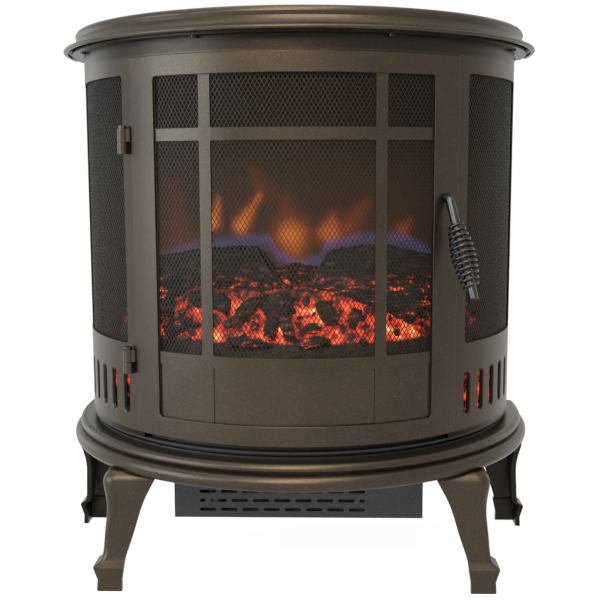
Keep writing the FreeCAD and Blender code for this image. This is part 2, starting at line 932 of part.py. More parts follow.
def door_frame():
    sheet = sector(door_in, door_out, door_low, door_high, -door_angle, door_angle, door_corner)
    light = sector(door_in - cut_margin, door_out + cut_margin, light_low, light_high,
                   -door_light_angle, door_light_angle, door_light_corner)
    pilots = []
    for angle, z in grid_screw_spots():
        pilots.append(outward_rod(grid_screw_radius + running_clearance, door_in - cut_margin,
                                  door_in + grid_screw_bite + seat_gap, angle, z))
    handle_hole = outward_rod(handle_tail_radius + running_clearance, door_in - cut_margin,
                              door_out + cut_margin, handle_angle, handle_z)
    return rounded_outside(sheet.cut(light)).cut([handle_hole] + pilots)


def rounded_outside(sheet):
    """Round over the edges that the door's sheet shows at its front."""
    front = []
    for edge in sheet.Edges:
        reach = [math.hypot(vertex.X, vertex.Y) for vertex in edge.Vertexes]
        if min(reach) > door_out - door_sheet / 4:
            front.append(edge)
    return sheet.makeFillet(door_edge_round, front)


def grid_screw_spots():
    low = light_low + grid_lap
    step = (light_high - grid_lap - low) / (grid_screw_rows - 1)
    spots = []
    for side in (-1, 1):
        for index in range(grid_screw_rows):
            spots.append((side * grid_screw_angle, low + index * step))
    return spots


def column_edges():
    """Start and end angle of each column of lights, from left to right."""
    half_bar = arc_degrees(grid_bar / 2, grid_out)
    edge = door_light_angle - grid_edge_angle
    return (
        (-edge, -mullion_angle - half_bar),
        (-mullion_angle + half_bar, mullion_angle - half_bar),
        (mullion_angle + half_bar, edge))


def door_grid():
    """Sheet with lights and dished panels, in three strips that meet across the middle lights."""
    sheet = sector(grid_in, grid_out, light_low - grid_lap, light_high + grid_lap, -grid_angle, grid_angle,
                   door_corner)
    wall = arc_degrees(grid_sheet, grid_out)
    dishes = []
    cutters = []
    for start, end in column_edges():
        near = grid_in - cut_margin
        far = grid_out + cut_margin
        cutters.append(sector(near, far, rail_top, top_bar_low, start, end, door_light_corner / 2))
        cutters.append(sector(near, far, top_light_low, light_high - grid_edge_angle, start, end,
                              door_light_corner / 2))
        dishes.append(sector(grid_in - panel_depth, grid_in + grid_sheet / 2, light_low - grid_sheet,
                             panel_top + grid_sheet, start - wall, end + wall))
        cutters.append(sector(grid_out - panel_depth, far, light_low, panel_top, start, end))
    for angle, z in grid_screw_spots():
        cutters.append(outward_rod(grid_screw_radius + running_clearance, grid_in - cut_margin,
                                   grid_out + cut_margin, angle, z))
    grid = joined([sheet] + dishes).cut(cutters)
    seams = (-door_angle, -mullion_angle / 2, mullion_angle / 2, door_angle)
    strips = []
    for start, end in zip(seams, seams[1:]):
        strips.append(grid.common(sector(grid_in - 2 * panel_depth, door_in, door_low, door_high, start, end)))
    return strips[0].fuse(strips[1:])


def grid_screws():
    screws = []
    for angle, z in grid_screw_spots():
        seat = grid_in * math.cos(math.radians(arc_degrees(grid_screw_head_radius, grid_in)))
        head = outward_rod(grid_screw_head_radius, seat - grid_screw_head_height, seat, angle, z)
        shank = outward_rod(grid_screw_radius, seat, door_in + grid_screw_bite, angle, z)
        screws.append(joined([head, shank]))
    return Part.makeCompound(screws)


def door_mesh():
    return expanded_sheet(door_mesh_out, -door_mesh_angle, door_mesh_angle, panel_top + door_mesh_lap,
                          light_high + door_mesh_lap)


# Hinges

def hinge_levels():
    return (door_high - upper_hinge_drop, door_low + lower_hinge_rise)


def barrel(z_low, z_high):
    return rod(barrel_radius, polar(hinge_radius, hinge_angle, z_low),
               polar(hinge_radius, hinge_angle, z_high))


def pin_bore(z_low, z_high):
    return rod(pin_radius + running_clearance, polar(hinge_radius, hinge_angle, z_low - cut_margin),
               polar(hinge_radius, hinge_angle, z_high + cut_margin))


def hinge_leaf(level):
    low = level + hinge_play
    high = low + leaf_height
    leaf = polygon([
        polar(hinge_radius + barrel_radius, hinge_angle, low),
        polar(door_out + leaf_stand, -door_angle, low),
        polar(door_in, -door_angle, low),
        polar(hinge_radius - barrel_radius, hinge_angle, low)]).extrude(UP * leaf_height)
    return joined([barrel(low, high), leaf]).cut(pin_bore(low, high))


def hinge_bracket(level):
    high = level - hinge_play
    low = high - knuckle_height
    half = bracket_width / 2
    foot = block(-half, half, -hinge_radius, -body_radius + cut_margin, low, high)
    inside = Part.makeCylinder(door_in, knuckle_height, Vector(0, 0, low))
    foot = turned(foot.cut(inside), hinge_angle)
    return joined([barrel(low, high), foot]).cut(pin_bore(low, high))


def hinge_pins():
    pins = []
    for level in hinge_levels():
        low = level - hinge_play - knuckle_height
        high = level + hinge_play + leaf_height
        shank = rod(pin_radius, polar(hinge_radius, hinge_angle, low), polar(hinge_radius, hinge_angle, high))
        head = rod(pin_head_radius, polar(hinge_radius, hinge_angle, high),
                   polar(hinge_radius, hinge_angle, high + pin_head_height))
        pins.append(joined([shank, head]))
    return Part.makeCompound(pins)


# Handle

def handle_line():
    """Bend point, direction and end of the leaning part of the rod, drawn at the front."""
    lean = math.radians(handle_lean)
    knee = Vector(0, -door_out - handle_knee_stand, handle_z)
    down = Vector(0, -math.sin(lean), -math.cos(lean))
    return knee, down


def handle_rod():
    knee, down = handle_line()
    out = Vector(0, -1, 0)
    half_turn = math.radians(90 - handle_lean) / 2
    reach = handle_bend * math.tan(half_turn)
    start = Vector(0, -door_out - running_clearance, knee.z)
    bend_start = knee - out * reach
    bend_end = knee + down * reach
    inward = (down - out).normalize()
    bend_middle = knee + inward * (handle_bend / math.cos(half_turn) - handle_bend)
    edges = [
        Part.makeLine(start, bend_start),
        Part.Arc(bend_start, bend_middle, bend_end).toShape(),
        Part.makeLine(bend_end, knee + down * handle_length)]
    bar = swept(edges, handle_rod_radius)
    tail = outward_rod(handle_tail_radius, door_in - handle_tail, door_out + handle_tail_radius / 2,
                       0, knee.z)
    tip = knee + down * handle_length
    rim = [edge for edge in bar.Edges if edge.isClosed() and (edge.CenterOfMass - tip).Length < handle_end_round]
    return turned(joined([bar.makeFillet(handle_end_round, rim[:1]), tail]), handle_angle)


def handle_nut():
    z = handle_z
    washer_face = door_in * math.cos(math.radians(arc_degrees(washer_radius, door_in)))
    bore = outward_rod(handle_tail_radius + running_clearance, 0, door_out, 0, z)
    washer = outward_rod(washer_radius, washer_face - washer_sheet, washer_face, 0, z)
    corners = []
    for step in range(6):
        turn = math.radians(60 * step)
        across = nut_across / math.sqrt(3)
        corners.append(Vector(across * math.cos(turn), -washer_face + washer_sheet, z + across * math.sin(turn)))
    nut = polygon(corners).extrude(BACK * nut_height)
    return turned(Part.makeCompound([washer.cut(bore), nut.cut(bore)]), handle_angle)


def coil_point(turn_count):
    """Centre of the grip wire after so many turns: a helix that swells to a barrel."""
    knee, down = handle_line()
    side = RIGHT
    lift = down.cross(side)
    share = turn_count / coil_turns
    thin = handle_rod_radius + seat_gap + coil_wire / 2
    radius = thin + (coil_belly_radius - thin) * math.sin(math.pi * share)
    turn = 2 * math.pi * turn_count
    along = coil_start + coil_length * share
    return knee + down * along + (side * math.cos(turn) + lift * math.sin(turn)) * radius


def coil_tangent(turn_count):
    step = 0.001
    return (coil_point(turn_count + step) - coil_point(turn_count - step)).normalize()


def tangent_arc(start, direction, end):
    """Arc that leaves a point along a direction and ends at another point."""
    chord = end - start
    cosine = direction.dot(chord) / chord.Length
    lean = math.acos(max(-1.0, min(1.0, cosine)))
    bulge = (direction - chord * (cosine / chord.Length)).normalize()
    middle = start + chord * 0.5 + bulge * (chord.Length / 2 * math.tan(lean / 2))
    return Part.Arc(start, middle, end).toShape()


def biarc(start, start_way, end, end_way):
    """Two arcs, tangent to each other, between two points with given directions."""
    gap = end - start
    a = 2 * (1 - start_way.dot(end_way))
    b = 2 * gap.dot(start_way + end_way)
    c = -gap.dot(gap)
    reach = (math.sqrt(b * b - 4 * a * c) - b) / (2 * a)
    joint = (start + start_way * reach + end - end_way * reach) * 0.5
    joint_way = (end - end_way * reach - start - start_way * reach).normalize()
    return [tangent_arc(start, start_way, joint), tangent_arc(joint, joint_way, end)]


def handle_coil():
    edges = []
    first = coil_point(0)
    edges.append(Part.makeLine(first - coil_tangent(0) * coil_wire, first))
    for half_turn in range(coil_turns * 2):
        begin = half_turn / 2
        end = begin + 0.5
        edges += biarc(coil_point(begin), coil_tangent(begin), coil_point(end), coil_tangent(end))
    last = coil_point(coil_turns)
    edges.append(Part.makeLine(last, last + coil_tangent(coil_turns) * coil_wire))
    return turned(swept(edges, coil_wire / 2), handle_angle)


def coil_least_gap():
    """Least room between one turn of the grip wire and the next."""
    total = coil_turns * coil_samples
    points = [coil_point(index / coil_samples) for index in range(total + 1)]
    least = coil_length
    for index, point in enumerate(points):
        for other in points[index + coil_samples // 2:index + coil_samples * 2]:
            least = min(least, (other - point).Length)
    return least - coil_wire


# Catch

def magnetic_catch():
    z = catch_z
    face = -(door_in - catch_gap)
    half = catch_width / 2
    magnet = block(-half, half, face, face + catch_depth, z - catch_height / 2, z + catch_height / 2)
    tab_out = shell_inside - seat_gap
    tab = sector(tab_out - catch_tab_sheet, tab_out, z - catch_height / 2, z + catch_height / 2,
                 catch_angle, catch_tab_angle)
    return joined([turned(magnet, catch_angle), tab])


# Firebox

def firebox_floor():
    plate = half_round_plate(floor_radius, panel_front - seat_gap, floor_low, floor_top)
    holes = []
    for angle in light_hole_angles:
        spot = polar(light_hole_reach, angle, floor_low - cut_margin)
        holes.append(rod(light_hole_radius, spot, spot + UP * (floor_sheet + cut_margin * 2)))
    plate = plate.cut(holes)
    legs = []
    for side in (-1, 1):
        inner = side * floor_leg_x
        outer = side * (floor_leg_x + floor_sheet)
        legs.append(block(min(inner, outer), max(inner, outer), floor_leg_front, floor_leg_back,
                          plate_top, floor_low))
    return joined([plate] + legs)


def firebox_ceiling():
    return half_round_plate(body_radius - ceiling_inset, panel_front - seat_gap, ceiling_low,
                            ceiling_low + ceiling_sheet)


def flame_screen():
    return block(-screen_half_width, screen_half_width, screen_y, screen_y + screen_sheet,
                 floor_top, ceiling_low)


def flame_cut(x, height):
    """Cutter with the outline of one tongue of flame."""
    low = floor_top + flame_cut_rise
    y = reflector_y - cut_margin
    half = flame_cut_width / 2
    left = Vector(x - half, y, low + half)
    right = Vector(x + half, y, low + half)
    tip = Vector(x + half / 2, y, low + height)
    edges = [
        Part.Arc(left, Vector(x, y, low), right).toShape(),
        Part.Arc(right, Vector(x + half * 0.85, y, low + height * 0.55), tip).toShape(),
        Part.Arc(tip, Vector(x - half * 0.35, y, low + height * 0.55), left).toShape()]
    return Part.Face(Part.Wire(edges)).extrude(BACK * (reflector_sheet + cut_margin * 2))


def flame_reflector():
    sheet = block(-reflector_half_width, reflector_half_width, reflector_y, reflector_y + reflector_sheet,
                  floor_top, floor_top + reflector_height)
    cuts = []
    for index in range(flame_cut_count):
        x = (index - (flame_cut_count - 1) / 2) * flame_cut_pitch
        cuts.append(flame_cut(x, flame_cut_height * (1.0 if index % 2 else 0.75)))
    return sheet.cut(cuts)


def bed_outline(radius, inset, z):
    back = bed_back - inset / 2
    half = math.sqrt(radius * radius - back * back)
    left = Vector(-half, back, z)
    right = Vector(half, back, z)
    return Part.Wire([Part.Arc(left, Vector(0, -radius, z), right).toShape(), Part.makeLine(right, left)])


def bed_mound(inset):
    top = bed_top - inset
    low = floor_top - (cut_margin if inset else 0.0)
    return Part.makeLoft([
        bed_outline(bed_radius - inset, inset, low),
        bed_outline(bed_radius - inset, inset, floor_top + bed_lip_height - inset),
        bed_outline(bed_radius - inset - bed_slope_inset, inset, top)], True, True)


def coal(index):
    """One broken lump, its size, place and tilt worked out from its number."""
    share = (index + 0.5) / coal_count
    angle = coal_spread_angle * (2 * share - 1)
    reach = coal_reach_near if index % 2 else coal_reach_far
    height = floor_top + bed_lip_height + (bed_height - bed_lip_height) * (0.75 if index % 2 else 0.25)
    long = coal_size * (1.0 + 0.25 * math.sin(index * 2.4))
    wide = coal_size * 0.8
    lump = Part.makeBox(long, wide, wide, Vector(-long / 2, -wide / 2, -wide / 2))
    lump = lump.makeChamfer(coal_chamfer, lump.Edges)
    lump.rotate(CENTRE, Vector(math.sin(index * 1.7), math.cos(index * 1.7), 0.6), 40 + 31 * index)
    lump.translate(polar(reach, angle, height))
    return lump


def ember_bed():
    coals = [coal(index) for index in range(coal_count)]
    bed = joined([bed_mound(0.0)] + coals)
    under = block(-body_radius, body_radius, -body_radius, 0, 0, floor_top)
    return bed.cut([bed_mound(bed_wall), under])


def log(points, radius):
    """Tapering log with uneven bark, lofted along a bent axis."""
    rings = []
    last = len(points) - 1
    for index, point in enumerate(points):
        ahead = (points[min(index + 1, last)] - points[max(index - 1, 0)]).normalize()
        across = ahead.cross(UP).normalize()
        over = across.cross(ahead)
        taper = log_taper if index in (0, last) else 1.0
        corners = []
        for step in range(log_sides):
            turn = 2 * math.pi * step / log_sides
            size = radius * taper * (1 + log_unevenness * math.sin(4 * turn + 1.5 * index))
            corners.append(point + (across * math.cos(turn) + over * math.sin(turn)) * size)
        rings.append(Part.makePolygon(corners + [corners[0]]))
    return Part.makeLoft(rings, True, True)


def log_axis(*shares):
    """Axis of a log: shares of the bed's radius to the right and forwards, and of a log's radius upwards."""
    points = []
    for right, forward, rise in shares:
        points.append(Vector(right * bed_radius, -forward * bed_radius, bed_top + rise * log_radius))
    return points


def logs(bed):
    """Four logs, each cut to the ember bed and to the logs that it lies against."""
    rear_left = log(log_axis((-0.81, 0.49, -0.27), (-0.47, 0.52, 0.19), (-0.29, 0.53, 0.24),
                             (-0.13, 0.53, 0.16)), log_radius)
    rear_right = log(log_axis((0.12, 0.53, 0.05), (0.28, 0.53, 0.22), (0.42, 0.53, 0.32),
                              (0.79, 0.48, -0.32)), log_radius)
    stub = log(log_axis((-0.11, 0.41, -0.38), (0.0, 0.42, -0.22), (0.1, 0.41, -0.27)), stub_radius)
    thin = log(log_axis((0.1, 0.74, 0.22), (0.3, 0.77, 0.05), (0.59, 0.79, -0.49)), thin_log_radius)
    ground = [bed_mound(-log_gap), bed]
    room = ground + [rear_left, rear_right]
    return rear_left.cut(ground), rear_right.cut(ground), stub.cut(room), thin.cut(room)


# Lamps

def lamp_holders():
    holders = []
    for angle in lamp_angles:
        spot = polar(light_hole_reach, angle, plate_top)
        cup = rod(lamp_holder_radius, spot, spot + UP * lamp_holder_height)
        well = rod(lamp_neck_radius + seat_gap, spot + UP * (lamp_holder_height / 2),
                   spot + UP * (lamp_holder_height + cut_margin))
        holders.append(cup.cut(well))
    return Part.makeCompound(holders)


def lamps():
    low = plate_top + lamp_holder_height / 2
    top = low + lamp_length
    globe = Part.makeSphere(lamp_bulb_radius, Vector(0, 0, top - lamp_bulb_radius))
    stem = rod(lamp_neck_radius, UP * low, UP * (top - lamp_bulb_radius))
    bulb = joined([globe, stem])
    bulbs = []
    for angle in lamp_angles:
        copy = bulb.copy()
        copy.translate(polar(light_hole_reach, angle))
        bulbs.append(copy)
    return Part.makeCompound(bulbs)


# Flame spindle

def spindle_axis(x):
    return Vector(x, spindle_y, spindle_z)


def flame_spindle():
    pieces = [rod(spindle_rod_radius, spindle_axis(-spindle_half_length), spindle_axis(spindle_half_length))]
    room = 2 * (spindle_plate_x - flag_width)
    for index in range(flag_count):
        x = (index / (flag_count - 1) - 0.5) * room
        flag = block(x - flag_width / 2, x + flag_width / 2, spindle_y - flag_sheet / 2,
                     spindle_y + flag_sheet / 2, spindle_z - flag_reach, spindle_z + flag_reach)
        flag.rotate(spindle_axis(0), RIGHT, flag_twist * index)
        pieces.append(flag)
    return joined(pieces)


def spindle_plate(x):
    """Upright plate on the firebox floor that carries one end of the spindle."""
    half = spindle_plate_half_width
    plate = block(x, x + spindle_plate_sheet, spindle_y - half, spindle_y + half, floor_top,
                  spindle_z + spindle_plate_head)
    foot = block(x - half, x + spindle_plate_sheet, spindle_y - half, spindle_y + half, floor_top,
                 floor_top + spindle_plate_sheet)
    bore = rod(spindle_rod_radius + running_clearance, spindle_axis(x - cut_margin),
               spindle_axis(x + spindle_plate_sheet + cut_margin))
    return joined([plate, foot]).cut(bore)


def spindle_bearing():
    return spindle_plate(spindle_plate_x)


def spindle_motor():
    x = -spindle_plate_x
    can = rod(spindle_motor_radius, spindle_axis(x - spindle_plate_sheet - spindle_motor_length),
              spindle_axis(x - spindle_plate_sheet))
    bore = rod(spindle_rod_radius + running_clearance, spindle_axis(-spindle_half_length - seat_gap),
               spindle_axis(x))
    plate = mirrored(spindle_plate(spindle_plate_x), RIGHT)
    return joined([can.cut(bore), plate])


# Fan heater

def grille_slots():
    cutters = []
    left = -case_half_width + grille_margin
    right = left + (grille_columns - 1) * grille_pitch + grille_slot_length
    for row in range(grille_rows):
        z = case_low + grille_rise + row * grille_row_pitch
        shift = grille_pitch / 2 if row % 2 else 0.0
        for column in range(-1, grille_columns):
            start = max(left, left + shift + column * grille_pitch)
            end = min(right, left + shift + column * grille_pitch + grille_slot_length)
            if end - start > grille_slot_height * 1.5:
                cutters.append(flat_slot(start, end, grille_slot_height, z, case_front - cut_margin,
                                         case_front + case_sheet + cut_margin))
    return cutters


def heater_case():
    outer = block(-case_half_width, case_half_width, case_front, case_back, case_low, ring_top)
    inner = block(-case_half_width + case_sheet, case_half_width - case_sheet, case_front + case_sheet,
                  case_back + cut_margin, case_low + case_sheet, ring_top + cut_margin)
    return outer.cut([inner] + grille_slots())


def heater_back():
    half = case_half_width - case_sheet
    panel = block(-half, half, case_back - case_sheet, case_back, case_low + case_sheet, ring_top)
    middle = (case_low + ring_top) / 2
    cutters = []
    for index in range(intake_count):
        x = (index - (intake_count - 1) / 2) * intake_pitch
        slot = Part.Face(slot_outline(intake_width, intake_height, middle, case_sheet + cut_margin - case_back))
        slot = slot.extrude(BACK * (case_sheet + cut_margin * 2))
        slot.translate(RIGHT * x)
        cutters.append(slot)
    return panel.cut(cutters)


def fan_axis(x):
    return Vector(x, fan_y, fan_z)


def fan_impeller():
    shaft_end = fan_plate_x + fan_shaft_over
    shaft = rod(fan_shaft_radius, fan_axis(-shaft_end), fan_axis(shaft_end))
    discs = []
    for x in (-fan_half_length, fan_half_length - fan_disc_sheet):
        discs.append(rod(fan_radius, fan_axis(x), fan_axis(x + fan_disc_sheet)))
    length = 2 * fan_half_length - fan_disc_sheet
    blade = block(-length / 2, length / 2, -fan_blade_depth, 0, -fan_blade_sheet / 2, fan_blade_sheet / 2)
    blade.rotate(CENTRE, RIGHT, fan_blade_angle)
    blade.translate(Vector(0, fan_radius - fan_blade_sheet, 0))
    blades = []
    for index in range(fan_blades):
        copy = blade.copy()
        copy.rotate(CENTRE, RIGHT, 360 * index / fan_blades)
        copy.translate(fan_axis(0))
        blades.append(copy)
    return joined([shaft] + discs + blades)


def fan_plate(x):
    half = fan_plate_half_width
    low = case_low + case_sheet
    plate = block(x, x + fan_plate_sheet, fan_y - half, fan_y + half, low, fan_z + fan_plate_head)
    foot = block(x, x + half, fan_y - half, fan_y + half, low, low + fan_plate_sheet)
    bore = rod(fan_shaft_radius + running_clearance, fan_axis(x - cut_margin),
               fan_axis(x + fan_plate_sheet + cut_margin))
    return joined([plate, foot]).cut(bore)


def fan_bearing():
    return mirrored(fan_plate(fan_plate_x), RIGHT)


def fan_motor():
    x = fan_plate_x + fan_plate_sheet
    can = rod(fan_motor_radius, fan_axis(x), fan_axis(x + fan_motor_length))
    bore = rod(fan_shaft_radius + running_clearance, fan_axis(x - cut_margin),
               fan_axis(fan_plate_x + fan_shaft_over + seat_gap))
    return joined([can.cut(bore), fan_plate(fan_plate_x)])


def heating_element():
    low = case_low + element_rise
    half = element_half_length
    bend = element_pitch / 2
    start = Vector(-half - element_plate_sheet, element_y, low)
    edges = []
    for index in range(element_passes):
        z = low + index * element_pitch
        side = 1 if index % 2 == 0 else -1
        end = Vector(side * (half - bend), element_y, z)
        if index == element_passes - 1:
            end = Vector(side * (half + element_plate_sheet), element_y, z)
        edges.append(Part.makeLine(start, end))
        if index < element_passes - 1:
            upper = end + UP * element_pitch
            edges.append(Part.Arc(end, end + Vector(side * bend, 0, bend), upper).toShape())
            start = upper
    tube = swept(edges, element_tube)
    top = low + (element_passes - 1) * element_pitch + element_plate_head
    depth = element_plate_depth / 2
    plates = []
    for x in (-half - element_plate_sheet, half):
        plates.append(block(x, x + element_plate_sheet, element_y - depth, element_y + depth,
                            case_low + case_sheet, top))
    return joined([tube] + plates)


def thermal_cutout():
    top = Vector(cutout_x, element_y, ring_top)
    disc = rod(cutout_radius, top - UP * cutout_height, top)
    tabs = []
    for side in (-1, 1):
        x = cutout_x + side * cutout_radius / 2
        tabs.append(block(x - cutout_tab_sheet / 2, x + cutout_tab_sheet / 2, element_y - cutout_tab_width,
                          element_y + cutout_tab_width, ring_top - cutout_height - cutout_tab_length,
                          ring_top - cutout_height))
    return joined([disc] + tabs)


# Controls

def control_panel():
    panel = sector(control_in, control_out, plate_top, floor_low, -control_angle, control_angle)
    cutters = []
    for side in (-1, 1):
        hole = block(-switch_body_width / 2 - seat_gap, switch_body_width / 2 + seat_gap, -control_out - cut_margin,
                     -control_in + cut_margin, control_z - switch_body_height / 2 - seat_gap,
                     control_z + switch_body_height / 2 + seat_gap)
        cutters.append(turned(hole, side * rocker_angle))
        cutters.append(outward_rod(knob_shaft_radius + seat_gap, control_in - cut_margin, control_out + cut_margin,
                                   side * knob_angle, control_z))
    return panel.cut(cutters)


def rocker_axis(x):
    return Vector(x, -control_out, control_z)


def switch_case(angle):
    face = control_out + seat_gap
    half = switch_bezel_width / 2
    bezel = block(-half, half, -face - switch_bezel, -face, control_z - switch_bezel_height / 2,
                  control_z + switch_bezel_height / 2)
    width = switch_body_width / 2
    body = block(-width, width, -face, -face + switch_body_depth, control_z - switch_body_height / 2,
                 control_z + switch_body_height / 2)
    room = rocker_width / 2 + rocker_play
    well = rod(rocker_radius + rocker_play, rocker_axis(-room), rocker_axis(room))
    pin_room = room + rocker_pin_length
    pin = rod(rocker_pin_radius + running_clearance, rocker_axis(-pin_room), rocker_axis(pin_room))
    return turned(joined([bezel, body]).cut([well, pin]), angle)


def rocker(angle):
    """Paddle with two shallow faces, tilted to its on side."""
    half = rocker_width / 2
    drum = rod(rocker_radius, rocker_axis(-half), rocker_axis(half))
    slope = math.tan(math.radians(rocker_tilt))
    reach = rocker_radius * 2
    front = -control_out - rocker_face
    edge = front - reach * slope
    over = -control_out - reach
    waste = polygon([
        Vector(-half - cut_margin, front, control_z), Vector(-half - cut_margin, edge, control_z + reach),
        Vector(-half - cut_margin, over, control_z + reach), Vector(-half - cut_margin, over, control_z - reach),
        Vector(-half - cut_margin, edge, control_z - reach)]).extrude(RIGHT * (rocker_width + cut_margin * 2))
    pin_half = half + rocker_pin_length
    paddle = joined([drum.cut(waste), rod(rocker_pin_radius, rocker_axis(-pin_half), rocker_axis(pin_half))])
    paddle.rotate(rocker_axis(0), RIGHT, -rocker_tilt)
    return turned(paddle, angle)


def knob(angle):
    low = control_out + knob_stand
    skirt = outward_rod(knob_skirt_radius, low, low + knob_skirt, 0, control_z)
    grip = outward_rod(knob_radius, low, low + knob_length, 0, control_z)
    shaft = outward_rod(knob_shaft_radius, control_in - knob_shaft_length, low + knob_skirt, 0, control_z)
    half = knob_pointer_width / 2
    pointer = block(-half, half, -low - knob_length - knob_pointer_depth, -low - knob_length,
                    control_z, control_z + knob_radius)
    return turned(joined([skirt, grip, shaft, pointer]), angle)


def pot_case(angle):
    face = control_in * math.cos(math.radians(arc_degrees(pot_radius, control_in)))
    can = outward_rod(pot_radius, face - pot_depth, face, 0, control_z)
    bore = outward_rod(knob_shaft_radius + running_clearance, 0, face + cut_margin, 0, control_z)
    return turned(can.cut(bore), angle)


# Saving

def save(name, shape):
    placed = shape.copy()
    placed.translate(to_origin)
    placed.exportStep(os.path.join("parts", name + ".step"))


def save_pair(left_name, right_name, right_shape):
    save(right_name, right_shape)
    save(left_name, mirrored(right_shape, RIGHT))


os.makedirs("parts", exist_ok=True)
save("top_plate", top_plate())
save("lid_screws", lid_screws())
save("base_ring", base_ring())
save("base_plate", base_plate())
save("neck_band", neck_band())
save("body_shell", body_shell())
save("back_panel", back_panel())
save("back_screws", back_screws())
save("cord_inlet", cord_inlet())
save_pair("left_side_mesh", "right_side_mesh", side_mesh())
save_pair("front_left_leg", "front_right_leg", front_leg())
save_pair("rear_left_leg", "rear_right_leg", rear_leg())
save("leg_bolts", leg_bolts())

save("door_frame", door_frame())
save("door_grid", door_grid())
save("grid_screws", grid_screws())
save("door_mesh", door_mesh())
upper_level, lower_level = hinge_levels()
save("upper_hinge_leaf", hinge_leaf(upper_level))
save("lower_hinge_leaf", hinge_leaf(lower_level))
save("upper_hinge_bracket", hinge_bracket(upper_level))
save("lower_hinge_bracket", hinge_bracket(lower_level))
save("hinge_pins", hinge_pins())
save("handle_rod", handle_rod())
save("handle_nut", handle_nut())
save("handle_coil", handle_coil())
save("magnetic_catch", magnetic_catch())

save("firebox_floor", firebox_floor())
save("firebox_ceiling", firebox_ceiling())
save("flame_screen", flame_screen())
save("flame_reflector", flame_reflector())
bed_shape = ember_bed()
save("ember_bed", bed_shape)
log_names = ("rear_left_log", "rear_right_log", "stub_log", "thin_log")
for log_name, log_shape in zip(log_names, logs(bed_shape)):
    save(log_name, log_shape)
save("lamp_holders", lamp_holders())
save("lamps", lamps())
save("flame_spindle", flame_spindle())
save("spindle_bearing", spindle_bearing())
save("spindle_motor", spindle_motor())

save("heater_case", heater_case())
save("heater_back", heater_back())
save("fan_impeller", fan_impeller())
save("fan_bearing", fan_bearing())
save("fan_motor", fan_motor())
save("heating_element", heating_element())
save("thermal_cutout", thermal_cutout())

save("control_panel", control_panel())
save("power_switch_case", switch_case(-rocker_angle))
save("heat_switch_case", switch_case(rocker_angle))
save("power_rocker", rocker(-rocker_angle))
save("heat_rocker", rocker(rocker_angle))
save("thermostat_case", pot_case(-knob_angle))
save("dimmer_case", pot_case(knob_angle))
save("thermostat_knob", knob(-knob_angle))
save("dimmer_knob", knob(knob_angle))

print("least gap between turns of the grip wire, mm:", round(coil_least_gap(), 2))
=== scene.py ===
"""Half-round electric stove heater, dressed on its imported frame."""

import json
import logging
import math
from dataclasses import dataclass
from enum import Enum
from typing import Any, ClassVar, Dict, List, Optional, Sequence, Tuple, Union

import bmesh
import bpy
from mathutils import Matrix, Vector, noise

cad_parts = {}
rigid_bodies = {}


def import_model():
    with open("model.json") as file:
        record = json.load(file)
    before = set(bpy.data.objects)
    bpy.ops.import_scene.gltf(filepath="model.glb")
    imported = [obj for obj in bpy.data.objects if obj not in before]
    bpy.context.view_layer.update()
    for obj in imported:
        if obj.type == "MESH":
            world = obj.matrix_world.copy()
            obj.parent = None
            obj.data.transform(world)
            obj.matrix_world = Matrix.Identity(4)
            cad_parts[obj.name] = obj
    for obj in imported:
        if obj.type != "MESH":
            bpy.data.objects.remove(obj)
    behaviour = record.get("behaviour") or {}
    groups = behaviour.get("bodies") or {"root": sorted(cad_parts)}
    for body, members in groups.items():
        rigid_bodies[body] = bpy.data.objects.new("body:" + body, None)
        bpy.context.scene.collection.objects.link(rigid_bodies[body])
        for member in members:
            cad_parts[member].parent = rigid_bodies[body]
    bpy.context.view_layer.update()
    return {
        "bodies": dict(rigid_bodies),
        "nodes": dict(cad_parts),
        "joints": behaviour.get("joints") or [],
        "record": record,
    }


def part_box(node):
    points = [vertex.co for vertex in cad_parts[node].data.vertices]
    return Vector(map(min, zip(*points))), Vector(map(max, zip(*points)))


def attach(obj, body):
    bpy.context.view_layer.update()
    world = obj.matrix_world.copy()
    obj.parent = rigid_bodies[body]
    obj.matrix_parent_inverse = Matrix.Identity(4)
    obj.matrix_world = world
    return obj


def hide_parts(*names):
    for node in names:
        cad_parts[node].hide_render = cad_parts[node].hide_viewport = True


logging.basicConfig(level=logging.INFO, format="%(message)s")
log = logging.getLogger("stove")

Colour = Tuple[float, float, float]
Point = Tuple[float, float, float]
Span = Tuple[float, float]
Stops = Tuple[Tuple[float, Colour], ...]

# Axis of the round front, top of the firebox floor, top and radius of the ember bed, in metres.
AXIS_Y = 0.13585
FLOOR_TOP = 0.258
BED_TOP = 0.336
BED_RADIUS = 0.236

UP = Vector((0.0, 0.0, 1.0))
BLACK = (0.0, 0.0, 0.0)
WHITE = (1.0, 1.0, 1.0)


class Body(Enum):
    """Moving bodies of the stove."""

    STOVE = "stove"
    DOOR = "door"


def at_angle(radius: float, angle: float, z: float) -> Vector:
    """Gives a point about the upright axis of the round front.

    Args:
        radius: distance from the axis, in metres.
        angle: degrees from the front, positive towards +X.
        z: height, in metres.

    Returns:
        The point in the row frame.
    """
    turn = math.radians(angle)
    return Vector((radius * math.sin(turn), AXIS_Y - radius * math.cos(turn), z))


def outward(length: float, angle: float, rise: float = 0.0) -> Vector:
    """Step away from the axis at an angle, with a rise."""
    return at_angle(length, angle, rise) - at_angle(0.0, angle, 0.0)


def axes_matrix(x: Vector, y: Vector, z: Vector, origin: Vector) -> Matrix:
    """Matrix that has these axes and this origin."""
    return Matrix.Translation(origin) @ Matrix((x, y, z)).transposed().to_4x4()


def place_object(name: str, data: Any) -> bpy.types.Object:
    """Links a new object at the origin.

    Args:
        name: object name.
        data: its mesh, camera or light.

    Returns:
        The object.
    """
    made = bpy.data.objects.new(name, data)
    bpy.context.scene.collection.objects.link(made)
    return made


